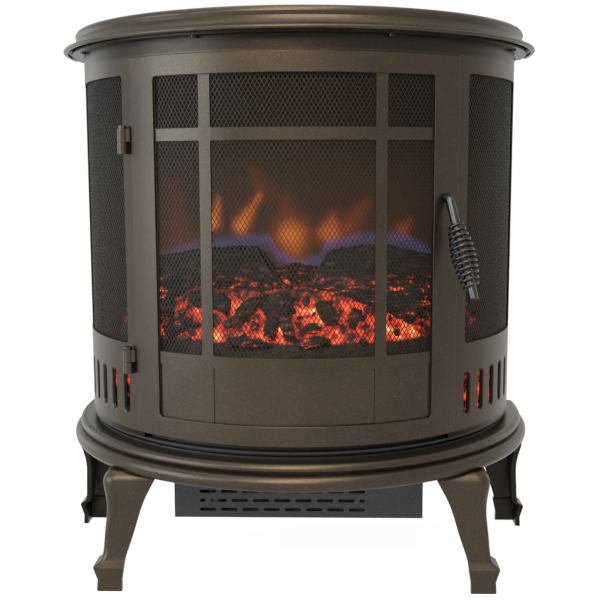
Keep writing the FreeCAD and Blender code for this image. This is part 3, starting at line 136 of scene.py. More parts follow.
def fill_grid(work: bmesh.types.BMesh, lines: Sequence[Sequence[bmesh.types.BMVert]]) -> None:
    """Adds the faces between neighbouring lines of vertices.

    Args:
        work: mesh in the making.
        lines: lines of vertices, all of one length.
    """
    for near, far in zip(lines, lines[1:]):
        for row in range(len(near) - 1):
            work.faces.new((near[row], far[row], far[row + 1], near[row + 1]))


def smooth_mesh(name: str, work: bmesh.types.BMesh) -> bpy.types.Mesh:
    """Turns a mesh in the making into a plain smooth one.

    Args:
        name: mesh name.
        work: mesh in the making, used up here.

    Returns:
        The plain mesh.
    """
    mesh = bpy.data.meshes.new(name)
    work.to_mesh(mesh)
    work.free()
    mesh.shade_smooth()
    return mesh


class Value:
    """A node socket that takes part in Python expressions."""

    def __init__(self, graph: "Graph", socket: bpy.types.NodeSocket) -> None:
        """Keeps the graph and the output socket."""
        self.graph = graph
        self.socket = socket

    def maths(self, operation: str, *others: Any) -> "Value":
        """Adds a Math node with this value first."""
        return self.graph.add("ShaderNodeMath", dict(enumerate((self, *others))), operation=operation)

    def reflected(self, operation: str, first: Any) -> "Value":
        """Adds a Math node with this value second."""
        return self.graph.add("ShaderNodeMath", {0: first, 1: self}, operation=operation)

    def __add__(self, other: Any) -> "Value":
        """Sum."""
        return self.maths("ADD", other)

    __radd__ = __add__

    def __sub__(self, other: Any) -> "Value":
        """Difference."""
        return self.maths("SUBTRACT", other)

    def __rsub__(self, other: Any) -> "Value":
        """Difference from a number."""
        return self.reflected("SUBTRACT", other)

    def __mul__(self, other: Any) -> "Value":
        """Product."""
        return self.maths("MULTIPLY", other)

    __rmul__ = __mul__

    def __truediv__(self, other: Any) -> "Value":
        """Quotient."""
        return self.maths("DIVIDE", other)

    def __rtruediv__(self, other: Any) -> "Value":
        """Quotient of a number."""
        return self.reflected("DIVIDE", other)

    def most(self, other: Any) -> "Value":
        """Larger of two values."""
        return self.maths("MAXIMUM", other)

    def least(self, other: Any) -> "Value":
        """Smaller of two values."""
        return self.maths("MINIMUM", other)

    def absolute(self) -> "Value":
        """Value without its sign."""
        return self.maths("ABSOLUTE")

    def sine(self) -> "Value":
        """Sine of an angle in radians."""
        return self.maths("SINE")

    def cosine(self) -> "Value":
        """Cosine of an angle in radians."""
        return self.maths("COSINE")

    def reach(self, other: "Value") -> "Value":
        """Length of a step that goes this far one way and the other value across."""
        return (self * self + other * other).maths("SQRT")

    def between(self, low: float, high: float) -> "Value":
        """Smooth step from 0 at low to 1 at high."""
        steps = {0: self, 1: low, 2: high}
        return self.graph.add("ShaderNodeMapRange", steps, interpolation_type="SMOOTHSTEP")


class Graph:
    """A node tree that nodes are added to by one method."""

    def __init__(self, tree: bpy.types.NodeTree) -> None:
        """Keeps the tree."""
        self.tree = tree

    @classmethod
    def cleared(cls, owner: Any) -> "Graph":
        """Empties the tree of a material or a world.

        Args:
            owner: the material or world.

        Returns:
            Its empty graph.
        """
        owner.use_nodes = True
        owner.node_tree.nodes.clear()
        return cls(owner.node_tree)

    def node(self, kind: str, links: Optional[Dict[Any, Any]] = None, **settings: Any) -> bpy.types.Node:
        """Adds one node.

        Args:
            kind: node type.
            links: socket name or index to a Value or a constant.
            settings: node attributes, set first; stops fills a colour ramp.

        Returns:
            The node.
        """
        node = self.tree.nodes.new(kind)
        for name, value in settings.items():
            if name == "stops":
                self.fill_ramp(node.color_ramp, value)
            else:
                setattr(node, name, value)
        for name, value in (links or {}).items():
            self.feed(node.inputs[name], value)
        return node

    def add(self, kind: str, links: Optional[Dict[Any, Any]] = None, output: Union[int, str] = 0,
            **settings: Any) -> Value:
        """Adds one node and gives the wanted output."""
        return Value(self, self.node(kind, links, **settings).outputs[output])

    def feed(self, socket: bpy.types.NodeSocket, value: Any) -> None:
        """Links a Value to a socket, or sets a constant on it.

        Args:
            socket: input socket.
            value: Value, number, vector, colour without its alpha, or material.
        """
        if isinstance(value, Value):
            self.tree.links.new(value.socket, socket)
        elif socket.type == "RGBA":
            socket.default_value = (*value, 1.0)
        else:
            socket.default_value = value

    @staticmethod
    def fill_ramp(ramp: bpy.types.ColorRamp, stops: Stops) -> None:
        """Sets the stops of a colour ramp.

        Args:
            ramp: the ramp.
            stops: places from 0 to 1 and their colours.
        """
        while len(ramp.elements) < len(stops):
            ramp.elements.new(1.0)
        for element, (place, colour) in zip(ramp.elements, stops):
            element.position = place
            element.color = (*colour, 1.0)

    def outputs(self, node: bpy.types.Node, *names: str) -> List[Value]:
        """Named outputs of a node."""
        return [Value(self, node.outputs[name]) for name in names]

    def object_place(self) -> Value:
        """Object coordinates."""
        return self.add("ShaderNodeTexCoord", output="Object")

    def parts(self, vector: Value) -> List[Value]:
        """Splits a vector into its three numbers."""
        return self.outputs(self.node("ShaderNodeSeparateXYZ", {0: vector}), "X", "Y", "Z")

    def vector(self, x: Any, y: Any, z: Any) -> Value:
        """Joins three numbers into a vector."""
        return self.add("ShaderNodeCombineXYZ", {0: x, 1: y, 2: z})

    def noise(self, place: Value, scale: float, detail: float = 3.0, roughness: float = 0.5) -> Value:
        """Noise from 0 to 1 at a place."""
        links = {"Vector": place, "Scale": scale, "Detail": detail, "Roughness": roughness}
        return self.add("ShaderNodeTexNoise", links, "Fac")

    def cells(self, place: Value, scale: float) -> Value:
        """Distance from the middle of the nearest cell in a cell pattern."""
        return self.add("ShaderNodeTexVoronoi", {"Vector": place, "Scale": scale}, "Distance", feature="F1")

    def stretched(self, place: Value, scale: Point) -> Value:
        """Place scaled by axis."""
        return self.add("ShaderNodeMapping", {"Vector": place, "Scale": scale})

    def ramp(self, value: Value, stops: Stops) -> Value:
        """Colour from a value."""
        return self.add("ShaderNodeValToRGB", {0: value}, "Color", stops=stops)

    def mix(self, share: Any, first: Any, second: Any, blend: str = "MIX") -> Value:
        """Blend of two colours."""
        links = {0: share, 6: first, 7: second}
        return self.add("ShaderNodeMix", links, 2, data_type="RGBA", blend_type=blend)

    def bump(self, height: Value, strength: float, distance: float) -> Value:
        """Normal from a height."""
        links = {"Strength": strength, "Distance": distance, "Height": height}
        return self.add("ShaderNodeBump", links, "Normal")

    def joined(self, *pieces: Value) -> Value:
        """Joins geometry.

        Args:
            pieces: geometry, in order.

        Returns:
            All of it together.
        """
        join = self.node("GeometryNodeJoinGeometry")
        for piece in pieces:
            self.feed(join.inputs[0], piece)
        return Value(self, join.outputs[0])


def scaled_colour(colour: Colour, factor: float, lift: float = 0.0) -> Colour:
    """Colour made lighter or darker, held below white."""
    return tuple(min(1.0, part * factor + lift) for part in colour)


def wavering(mean: float, *waves: Tuple[Value, float]) -> Value:
    """Adds noises to a mean.

    Args:
        mean: value that is kept on the whole.
        waves: each noise from 0 to 1 with its share.

    Returns:
        The uneven value.
    """
    total: Any = mean - sum(share for _, share in waves) / 2
    for wave, share in waves:
        total = wave * share + total
    return total


class Finish:
    """A procedural material with one principled surface.

    Scales of its patterns are in steps per metre, depths and places in metres.
    """

    name: str = "finish"
    made: ClassVar[Dict[str, bpy.types.Material]] = {}

    def material(self) -> bpy.types.Material:
        """Builds the material once and gives it back afterwards.

        Returns:
            The material.
        """
        if self.name not in self.made:
            made = bpy.data.materials.new(self.name + "_finish")
            graph = Graph.cleared(made)
            surface = graph.add("ShaderNodeBsdfPrincipled", self.inputs(graph))
            graph.node("ShaderNodeOutputMaterial", {"Surface": surface})
            self.made[self.name] = made
        return self.made[self.name]

    def inputs(self, graph: Graph) -> Dict[str, Any]:
        """Inputs of the principled surface by name."""
        raise NotImplementedError


@dataclass(frozen=True)
class Enamel(Finish):
    """Baked satin enamel with fine grain and a little metallic flake.

    Where its shade radius is set, painted shade darkens it inside that radius and below one height,
    and a lighter painted shade darkens it above another.
    """

    name: str = "bronze_enamel"
    colour: Colour = (0.038, 0.0295, 0.0215)
    warm: Colour = (0.047, 0.0355, 0.026)
    metallic: float = 0.85
    roughness: float = 0.36
    grain: float = 430.0
    depth: float = 0.00006
    coat: float = 0.06
    edge: Colour = (0.92, 0.92, 0.9)
    drift: float = 9.0
    flake_finer: float = 1.7
    flake_lighter: float = 2.4
    flake_share: float = 0.4
    shade_colour: Colour = (0.002, 0.002, 0.002)
    shade_within: float = 0.0
    shade_below: float = 0.0
    shade_fade: float = 0.0008
    shade_above: float = 0.0
    upper_shade_fade: float = 0.003
    upper_shade_share: float = 0.5
    side: Span = (0.2, 0.25)

    def unshaded(self, graph: Graph, place: Value) -> Value:
        """Builds the share left unshaded: painted shade inside the sheet and along its foot, lighter
        painted shade under the lid.

        Args:
            graph: graph to add to.
            place: object coordinates.

        Returns:
            1 where the enamel shows unshaded, 0 where the painted shade is full.
        """
        x, y, z = graph.parts(place)
        outside = x.reach(y - AXIS_Y).between(self.shade_within - self.shade_fade, self.shade_within)
        sides = x.absolute().between(*self.side)
        foot = z.between(self.shade_below - self.shade_fade, self.shade_below).most(sides)
        brow = 1.0 - z.between(self.shade_above, self.shade_above + self.upper_shade_fade) * self.upper_shade_share
        return outside * foot * brow

    def inputs(self, graph: Graph) -> Dict[str, Any]:
        """Adds colour drift, flakes and grain, and painted shade where it has any.

        Args:
            graph: graph to add to.

        Returns:
            Inputs of the principled surface by name.
        """
        place = graph.object_place()
        drift = graph.noise(place, self.drift)
        flake = graph.noise(place, self.grain * self.flake_finer, detail=2.0)
        grain = graph.noise(place, self.grain, roughness=0.6)
        tone = graph.mix(drift.between(0.35, 0.7), self.colour, self.warm)
        flake_colour = scaled_colour(self.warm, self.flake_lighter)
        tone = graph.mix(flake.between(0.52, 0.72) * self.flake_share, tone, flake_colour)
        # Painted shade: near-black inside the sheet, which darkens the slot recesses, and along the shell's
        # foot but not its sides; half as dark under the lid.
        if self.shade_within:
            tone = graph.mix(self.unshaded(graph, place), self.shade_colour, tone)
        return {
            "Base Color": tone,
            "Roughness": wavering(self.roughness, (drift, 0.12), (grain, 0.08)),
            "Metallic": self.metallic,
            "Specular Tint": self.edge,
            "Coat Weight": self.coat,
            "Coat Roughness": 0.3,
            "Normal": graph.bump(grain, 0.35, self.depth)}


@dataclass(frozen=True)
class Metal(Finish):
    """Bare or plated metal with a drawn grain."""

    name: str = "bright_steel"
    colour: Colour = (0.5, 0.5, 0.51)
    roughness: float = 0.32
    drawn: Point = (40.0, 900.0, 900.0)
    depth: float = 0.00005
    stain: float = 35.0
    stain_darker: float = 0.72

    def inputs(self, graph: Graph) -> Dict[str, Any]:
        """Adds drawn lines and dull patches.

        Args:
            graph: graph to add to.

        Returns:
            Inputs of the principled surface by name.
        """
        place = graph.object_place()
        lines = graph.noise(graph.stretched(place, self.drawn), 1.0)
        stain = graph.noise(place, self.stain, detail=4.0)
        dark = scaled_colour(self.colour, self.stain_darker)
        return {
            "Base Color": graph.mix(stain.between(0.4, 0.75), self.colour, dark),
            "Roughness": wavering(self.roughness, (lines, 0.18), (stain, 0.1)),
            "Metallic": 1.0,
            "Normal": graph.bump(lines, 0.2, self.depth)}


@dataclass(frozen=True)
class Plastic(Finish):
    """Moulded plastic, ceramic or rubber with a fine texture."""

    name: str = "black_plastic"
    colour: Colour = (0.015, 0.015, 0.016)
    roughness: float = 0.455
    grain: float = 1500.0
    depth: float = 0.00004
    drift: float = 60.0

    def inputs(self, graph: Graph) -> Dict[str, Any]:
        """Adds a fine spark-eroded grain.

        Args:
            graph: graph to add to.

        Returns:
            Inputs of the principled surface by name.
        """
        place = graph.object_place()
        grain = graph.noise(place, self.grain, detail=2.0)
        pale = scaled_colour(self.colour, 1.35, lift=0.004)
        return {
            "Base Color": graph.mix(graph.noise(place, self.drift), self.colour, pale),
            "Roughness": wavering(self.roughness, (grain, 0.15)),
            "Normal": graph.bump(grain, 0.3, self.depth)}


@dataclass(frozen=True)
class LampGlass(Finish):
    """Frosted lamp glass, lit from inside."""

    name: str = "lamp_glass"
    glass: Colour = (0.8, 0.5, 0.35)
    frost: Colour = (0.9, 0.7, 0.5)
    glow: Colour = (1.0, 0.16, 0.04)
    hot: Colour = (1.0, 0.24, 0.07)
    strength: float = 14.0
    drift: float = 50.0

    def inputs(self, graph: Graph) -> Dict[str, Any]:
        """Adds an uneven red glow.

        Args:
            graph: graph to add to.

        Returns:
            Inputs of the principled surface by name.
        """
        drift = graph.noise(graph.object_place(), self.drift, detail=2.0)
        return {
            "Base Color": graph.mix(drift, self.glass, self.frost),
            "Roughness": 0.5,
            "Emission Color": graph.mix(drift, self.glow, self.hot),
            "Emission Strength": self.strength}


@dataclass(frozen=True)
class Charred(Finish):
    """Charred bark with ash on its ridges and a red light from below."""

    name: str = "charred_log"
    dark: Colour = (0.012, 0.011, 0.01)
    ash: Colour = (0.22, 0.2, 0.18)
    ash_share: float = 0.8
    ridge: Point = (55.0, 170.0, 170.0)
    crack: Point = (60.0, 110.0, 110.0)
    fine: float = 600.0
    depth: float = 0.002
    glow: float = 1.2
    glow_low: float = BED_TOP - 0.004
    glow_high: float = BED_TOP + 0.03
    heat: Stops = (
        (0.0, BLACK), (0.35, (0.12, 0.004, 0.001)), (0.8, (0.9, 0.08, 0.01)), (1.0, (1.0, 0.25, 0.03)))

    def inputs(self, graph: Graph) -> Dict[str, Any]:
        """Adds bark ridges, ash and glowing cracks near the bed.

        Args:
            graph: graph to add to.

        Returns:
            Inputs of the principled surface by name.
        """
        place = graph.object_place()
        ridges = graph.noise(graph.stretched(place, self.ridge), 1.0, detail=5.0, roughness=0.65)
        fine = graph.noise(place, self.fine, detail=4.0, roughness=0.7)
        cracks = graph.cells(graph.stretched(place, self.crack), 1.0)
        ash = ridges.between(0.48, 0.72) * fine.between(0.35, 0.7) * self.ash_share
        low = 1.0 - graph.parts(place)[2].between(self.glow_low, self.glow_high)
        ember = low * ridges.between(0.5, 0.68) * cracks.between(0.15, 0.5)
        return {
            "Base Color": graph.mix(ash, self.dark, self.ash),
            "Roughness": 0.9,
            "Emission Color": graph.ramp(ember, self.heat),
            "Emission Strength": self.glow,
            "Normal": graph.bump(ridges * 0.7 + fine * 0.3, 0.8, self.depth)}


@dataclass(frozen=True)
class Core:
    """Hot place in the embers: place across, height and reach in metres, and added heat."""

    x: float
    z: float
    reach: float
    heat: float


@dataclass(frozen=True)
class Embers(Finish):
    """Glowing ember moulding with dark crusts and yellow cores."""

    name: str = "ember_moulding"
    strength: float = 1.2
    cool: float = 1.09
    patch: float = 26.0
    crust: float = 110.0
    fine: float = 420.0
    plate: float = 66.0
    depth: float = 0.003
    crust_dark: Colour = (0.02, 0.015, 0.012)
    crust_pale: Colour = (0.05, 0.045, 0.04)
    lip_low: float = FLOOR_TOP + 0.020
    lip_high: float = FLOOR_TOP + 0.027
    brow_low: float = BED_TOP - 0.016
    brow_high: float = BED_TOP - 0.003
    brow_fade: float = 0.4
    side: Span = (0.1, 0.2)
    side_fade: float = 0.4
    core_width: float = 1.15
    core_heat: float = 1.4
    heat: Stops = (
        (0.26, BLACK), (0.36, (0.1, 0.005, 0.002)), (0.52, (0.52, 0.024, 0.009)),
        (0.7, (0.95, 0.062, 0.018)), (0.86, (1.0, 0.22, 0.045)), (1.0, (1.0, 0.66, 0.22)))
    cores: Tuple[Core, ...] = (
        Core(-0.067, 0.316, 0.008, 0.24), Core(-0.014, 0.294, 0.010, 0.34), Core(0.012, 0.320, 0.014, 0.36),
        Core(0.030, 0.331, 0.016, 0.26), Core(-0.087, 0.290, 0.014, 0.28), Core(0.131, 0.291, 0.018, 0.24),
        Core(-0.155, 0.322, 0.010, 0.2), Core(-0.150, 0.290, 0.014, 0.22), Core(0.115, 0.303, 0.03, 0.14),
        Core(0.06, 0.29, 0.04, 0.12), Core(-0.037, 0.297, 0.018, 0.2), Core(0.06, 0.318, 0.022, 0.16))

    def inputs(self, graph: Graph) -> Dict[str, Any]:
        """Adds heat patches, hot cores, crust and the dark lip in front.

        Args:
            graph: graph to add to.

        Returns:
            Inputs of the principled surface by name.
        """
        place = graph.object_place()
        patch = graph.noise(place, self.patch, detail=2.0)
        crust = graph.noise(place, self.crust, detail=4.0, roughness=0.62)
        fine = graph.noise(place, self.fine)
        plates = graph.cells(place, self.plate)
        x, _, z = graph.parts(place)
        level: Any = patch * 0.5 + crust * 1.5 + plates * 0.6 + fine * 0.5 - self.cool
        for core in self.cores:
            away = (x - core.x).reach(z - core.z)
            near = 1.0 - away.between(0.0, core.reach * self.core_width)
            level = near * (crust * core.heat * self.core_heat) + level
        middle = 1.0 - x.absolute().between(*self.side) * self.side_fade
        brow = 1.0 - z.between(self.brow_low, self.brow_high) * self.brow_fade
        level = level * z.between(self.lip_low, self.lip_high) * middle * brow
        return {
            "Base Color": graph.mix(crust.between(0.4, 0.7), self.crust_dark, self.crust_pale),
            "Roughness": 0.85,
            "Emission Color": graph.ramp(level, self.heat),
            "Emission Strength": self.strength,
            "Normal": graph.bump(crust * 0.7 + fine * 0.3, 0.9, self.depth)}


@dataclass(frozen=True)
class Tongue:
    """One projected flame from its foot to its tip, with its width in metres and its brightness.

    Towards the tip it loses the shares taper of its width and dim of its light. Its edge fades out at
    soft times its width.
    """

    foot: Span
    tip: Span
    width: float
    light: float
    taper: float = 0.55
    dim: float = 0.45
    soft: float = 1.25

    def lit(self, x: Value, z: Value) -> Value:
        """Builds the light of the flame.

        Args:
            x: place across the sheet.
            z: height.

        Returns:
            Brightness from 0 to the flame's own.
        """
        foot_x, foot_z = self.foot
        run_x = self.tip[0] - foot_x
        run_z = self.tip[1] - foot_z
        along = ((x - foot_x) * run_x + (z - foot_z) * run_z) / (run_x ** 2 + run_z ** 2)
        held = along.most(0.0).least(1.0)
        away = (x - (held * run_x + foot_x)).reach(z - (held * run_z + foot_z))
        thick = (1.0 - held * self.taper) * self.width
        return (1.0 - (away / thick).between(0.0, self.soft)) * (1.0 - held * self.dim) * self.light


@dataclass(frozen=True)
class FlameSheet(Finish):
    """Translucent sheet with soft projected flames and a blue edge above the logs."""

    name: str = "flame_screen_sheet"
    strength: float = 0.94
    sheet: Colour = (0.018, 0.012, 0.008)
    sheet_pale: Colour = (0.027, 0.018, 0.012)
    haze_dark: Colour = (0.003, 0.002, 0.0018)
    haze_warm: Colour = (0.045, 0.019, 0.009)
    haze_height: Span = (0.38, 0.54)
    haze_side: Span = (0.006, 0.045)
    blue: Colour = (0.022, 0.038, 0.125)
    blue_below: float = 0.02
    blue_above: float = 0.012
    blue_side: Span = (0.15, 0.2)
    wisp: Point = (28.0, 1.0, 16.0)
    sway: float = 0.014
    heat: Stops = (
        (0.0, BLACK), (0.3, (0.12, 0.018, 0.003)), (0.65, (0.5, 0.11, 0.01)), (1.0, (0.9, 0.3, 0.04)))
    tongues: Tuple[Tongue, ...] = (
        Tongue((-0.109, 0.404), (-0.101, 0.436), 0.015, 0.78),
        Tongue((-0.072, 0.400), (-0.050, 0.438), 0.017, 0.78),
        Tongue((-0.046, 0.446), (-0.058, 0.470), 0.020, 0.2),
        Tongue((-0.010, 0.386), (0.002, 0.350), 0.030, 0.46),
        Tongue((-0.010, 0.392), (-0.018, 0.43), 0.034, 0.28),
        Tongue((0.036, 0.392), (0.042, 0.414), 0.022, 0.6),
        Tongue((0.060, 0.398), (0.086, 0.430), 0.022, 0.34),
        Tongue((0.128, 0.396), (0.137, 0.408), 0.015, 0.4),
        Tongue((-0.150, 0.38), (-0.160, 0.45), 0.034, 0.2))
    crest: Tuple[Span, ...] = (
        (-0.24, 0.33), (-0.18, 0.362), (-0.115, 0.379), (-0.04, 0.384), (-0.022, 0.362), (0.0, 0.352),
        (0.024, 0.358), (0.036, 0.378), (0.09, 0.386), (0.125, 0.384), (0.18, 0.362), (0.24, 0.33))

    def crest_height(self, x: Value) -> Value:
        """Builds the height of the logs' crest across the sheet.

        Args:
            x: place across the sheet.

        Returns:
            Height of the crest, in metres.
        """
        total: Any = self.crest[0][1]
        for (x_low, z_low), (x_high, z_high) in zip(self.crest, self.crest[1:]):
            total = x.between(x_low, x_high) * (z_high - z_low) + total
        return total

    def inputs(self, graph: Graph) -> Dict[str, Any]:
        """Adds the warm backdrop, the flames and the blue edge.

        Args:
            graph: graph to add to.

        Returns:
            Inputs of the principled surface by name.
        """
        place = graph.object_place()
        wisp = graph.noise(graph.stretched(place, self.wisp), 1.0)
        x, _, z = graph.parts(place)
        swayed = x + (wisp - 0.5) * self.sway
        flame: Any = 0.0
        for tongue in self.tongues:
            flame = tongue.lit(swayed, z) + flame
        over = z - self.crest_height(x)
        inside = 1.0 - x.absolute().between(*self.blue_side)
        blue = over.between(-self.blue_below, 0.0) * (1.0 - over.between(0.0, self.blue_above)) * inside
        side = 1.0 - (x * x).between(*self.haze_side)
        rise = 1.0 - z.between(*self.haze_height)
        haze = (side * 0.6 + 0.4) * (rise * 0.85 + 0.15)
        glow = graph.mix(haze, self.haze_dark, self.haze_warm)
        for light in (graph.ramp(flame.least(1.0), self.heat), graph.mix(blue, BLACK, self.blue)):
            glow = graph.mix(1.0, glow, light, "ADD")
        return {
            "Base Color": graph.mix(wisp, self.sheet, self.sheet_pale),
            "Roughness": 0.6,
            "Specular IOR Level": 0.1,
            "Emission Color": glow,
            "Emission Strength": self.strength}


class Palette:
    """Finishes of the record's material slots, under the slots' own names."""

    kinds: Tuple[Finish, ...] = (
        Enamel(),
        Enamel("black_enamel", (0.006, 0.006, 0.006), (0.009, 0.008, 0.008), 0.1, 0.55, coat=0.0),
        Enamel("slate_enamel", (0.036, 0.041, 0.044), (0.043, 0.047, 0.05), 0.4, 0.45, coat=0.0),
        Enamel("mesh_enamel", (0.018, 0.016, 0.0142), (0.024, 0.021, 0.0185), 0.65, 0.5, coat=0.0,
               edge=(0.8, 0.8, 0.78)),
        Enamel("zinc_sheet", (0.4, 0.41, 0.42), (0.5, 0.5, 0.5), 0.8, 0.4, grain=300.0),
        Metal(),
        Metal("blackened_steel", (0.05, 0.05, 0.052), 0.34),
        Metal("element_steel", (0.26, 0.25, 0.25), 0.45),
        Metal("motor_steel", (0.38, 0.38, 0.39), 0.4),
        Plastic(),
        Plastic("white_ceramic", (0.7, 0.68, 0.64), 0.405),
        Plastic("gland_rubber", (0.02, 0.02, 0.02), 0.705),
        LampGlass(),
        FlameSheet(),
        Charred(),
        Embers())
    finishes: Dict[str, Finish] = {finish.name: finish for finish in kinds}

    @classmethod
    def material(cls, slot: str) -> bpy.types.Material:
        """Material of a slot."""
        return cls.finishes[slot].material()


def add_piece(name: str, mesh: bpy.types.Mesh, body: Body, slot: str, nodes: Sequence[str] = (),
              material: Optional[bpy.types.Material] = None) -> None:
    """Links a finished mesh as a piece of the stove.

    Args:
        name: piece name.
        mesh: mesh in the row frame, in metres.
        body: body it moves with.
        slot: record slot of its finish.
        nodes: CAD nodes that it stands for.
        material: finish, where it differs from the slot's own.
    """
    piece = place_object(name, mesh)
    mesh.materials.clear()
    mesh.materials.append(material or Palette.material(slot))
    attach(piece, body.value)
    if nodes:
        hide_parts(*nodes)
    log.info("piece %s: %d faces", name, len(mesh.polygons))


class NodeForm:
    """A form that a Geometry Nodes tree makes, turned into a plain mesh."""

    def __init__(self, name: str, sizes: Dict[str, float]) -> None:
        """Starts the tree with its named inputs.

        Args:
            name: tree name.
            sizes: input name to value; an int makes a whole-number input.
        """
        self.name = name
        self.tree = bpy.data.node_groups.new(name, "GeometryNodeTree")
        for way in ("INPUT", "OUTPUT"):
            self.tree.interface.new_socket("Geometry", in_out=way, socket_type="NodeSocketGeometry")
        self.values: Dict[str, float] = {}
        for label, value in sizes.items():
            kind = "NodeSocketInt" if isinstance(value, int) else "NodeSocketFloat"
            socket = self.tree.interface.new_socket(label, in_out="INPUT", socket_type=kind)
            self.values[socket.identifier] = value
        self.graph = Graph(self.tree)
        self.inlet = self.graph.node("NodeGroupInput")

    def given(self, label: str) -> Value:
        """Named input as a value."""
        return Value(self.graph, self.inlet.outputs[label])

    def mesh(self, geometry: Value, material: bpy.types.Material,
             start: Optional[bpy.types.Mesh] = None) -> bpy.types.Mesh:
        """Ends the tree with realised geometry and its material, and runs it.

        Args:
            geometry: what the tree has made.
            material: its finish.
            start: mesh that the tree starts from.

        Returns:
            The plain mesh.
        """
        real = self.graph.add("GeometryNodeRealizeInstances", {"Geometry": geometry})
        painted = self.graph.add("GeometryNodeSetMaterial", {"Geometry": real, "Material": material})
        self.graph.node("NodeGroupOutput", {"Geometry": painted})
        holder = place_object(self.name + "_holder", start or bpy.data.meshes.new(self.name + "_start"))
        modifier = holder.modifiers.new(self.name, "NODES")
        modifier.node_group = self.tree
        for identifier, value in self.values.items():
            modifier[identifier] = value
        bpy.context.view_layer.update()
        depsgraph = bpy.context.evaluated_depsgraph_get()
        made = bpy.data.meshes.new_from_object(holder.evaluated_get(depsgraph))
        holder.modifiers.remove(modifier)
        bpy.data.objects.remove(holder)
        made.name = self.name
        return made


@dataclass
class ExpandedMesh:
    """Curved sheet of expanded metal: staggered diamonds with the long way upright.

    A diamond is wide by tall from middle to middle of its strands, which take the share strand of it.
    """

    name: str
    node: str
    body: Body
    wide: float = 0.0048
    tall: float = 0.008
    strand: float = 0.15
    sheet: float = 0.0007

    @staticmethod
    def diamond(form: NodeForm, share: Any, fill: str) -> Value:
        """Builds a flat diamond.

        Args:
            form: form that the nodes are added to.
            share: its share of the full size.
            fill: how the outline is filled.

        Returns:
            The diamond's geometry.
        """
        half_wide = form.given("Wide") * share * 0.5
        half_tall = form.given("Tall") * share * 0.5
        scale = form.graph.vector(half_wide, half_tall, 1.0)
        outline = form.graph.add("GeometryNodeMeshCircle", {"Vertices": 4, "Radius": 1.0}, fill_type=fill)
        return form.graph.add("GeometryNodeTransform", {"Geometry": outline, "Scale": scale})

    def ring(self, form: NodeForm) -> Value:
        """Builds one opening: front and back strands and the walls of its gap.

        Args:
            form: form that the nodes are added to.

        Returns:
            The opening's geometry.
        """
        graph = form.graph
        inner = 1.0 - form.given("Strand")
        lift = graph.vector(0.0, 0.0, form.given("Sheet"))
        face = self.diamond(form, 1.0, "NGON")
        inset = graph.node("GeometryNodeExtrudeMesh", {"Mesh": face, "Offset Scale": 0.0}, mode="FACES")
        sheet, top = graph.outputs(inset, "Mesh", "Top")
        scaling = {"Geometry": sheet, "Selection": top, "Scale": inner}
        scaled = graph.add("GeometryNodeScaleElements", scaling, domain="FACE")
        opening = {"Geometry": scaled, "Selection": top}
        strands = graph.add("GeometryNodeDeleteGeometry", opening, domain="FACE")
        front = graph.add("GeometryNodeTransform", {"Geometry": strands, "Translation": lift})
        back = graph.add("GeometryNodeFlipFaces", {"Mesh": strands})
        sweep = {"Mesh": self.diamond(form, inner, "NONE"), "Offset": lift, "Offset Scale": 1.0}
        walls = graph.add("GeometryNodeExtrudeMesh", sweep, mode="EDGES")
        return graph.joined(front, back, walls)

    def sizes(self) -> Dict[str, float]:
        """Works out the tree's inputs from the CAD node's box.

        Returns:
            Input name to value.
        """
        low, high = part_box(self.node)
        front = AXIS_Y - low.y
        near, far = sorted((abs(low.x), abs(high.x)))
        across_front = low.x * high.x < 0
        inner = low.x if across_front else near
        radius = (front if across_front else math.hypot(inner, front)) - self.sheet
        first = math.asin(inner / radius)
        last = math.asin(far / radius)
        side = -1.0 if high.x < 0 else 1.0
        return {
            "Wide": self.wide, "Tall": self.tall, "Strand": self.strand, "Sheet": self.sheet,
            "Columns": int((last - first) * radius / self.wide), "Rows": int((high.z - low.z) / self.tall),
            "Radius": radius, "Middle": side * (first + last) / 2, "Height": (low.z + high.z) / 2}

    def build(self) -> None:
        """Makes the sheet and sets it in place of its CAD node."""
        form = NodeForm(self.name, self.sizes())
        graph = form.graph
        lattices = []
        for less in (0, 1):
            across = form.given("Columns") - less
            upward = form.given("Rows") - less
            lattices.append(graph.add("GeometryNodeMeshGrid", {
                "Size X": (across - 1) * form.given("Wide"), "Size Y": (upward - 1) * form.given("Tall"),
                "Vertices X": across, "Vertices Y": upward}))
        points = graph.joined(*lattices)
        placed = graph.add("GeometryNodeInstanceOnPoints", {"Points": points, "Instance": self.ring(form)})
        real = graph.add("GeometryNodeRealizeInstances", {"Geometry": placed})
        x, y, z = graph.parts(graph.add("GeometryNodeInputPosition"))
        turn = x / form.given("Radius") + form.given("Middle")
        reach = form.given("Radius") + z
        bent = graph.vector(reach * turn.sine(), AXIS_Y - reach * turn.cosine(), y + form.given("Height"))
        curved = graph.add("GeometryNodeSetPosition", {"Geometry": real, "Position": bent})
        mesh = form.mesh(curved, Palette.material("mesh_enamel"))
        add_piece(self.name, mesh, self.body, "mesh_enamel", [self.node])


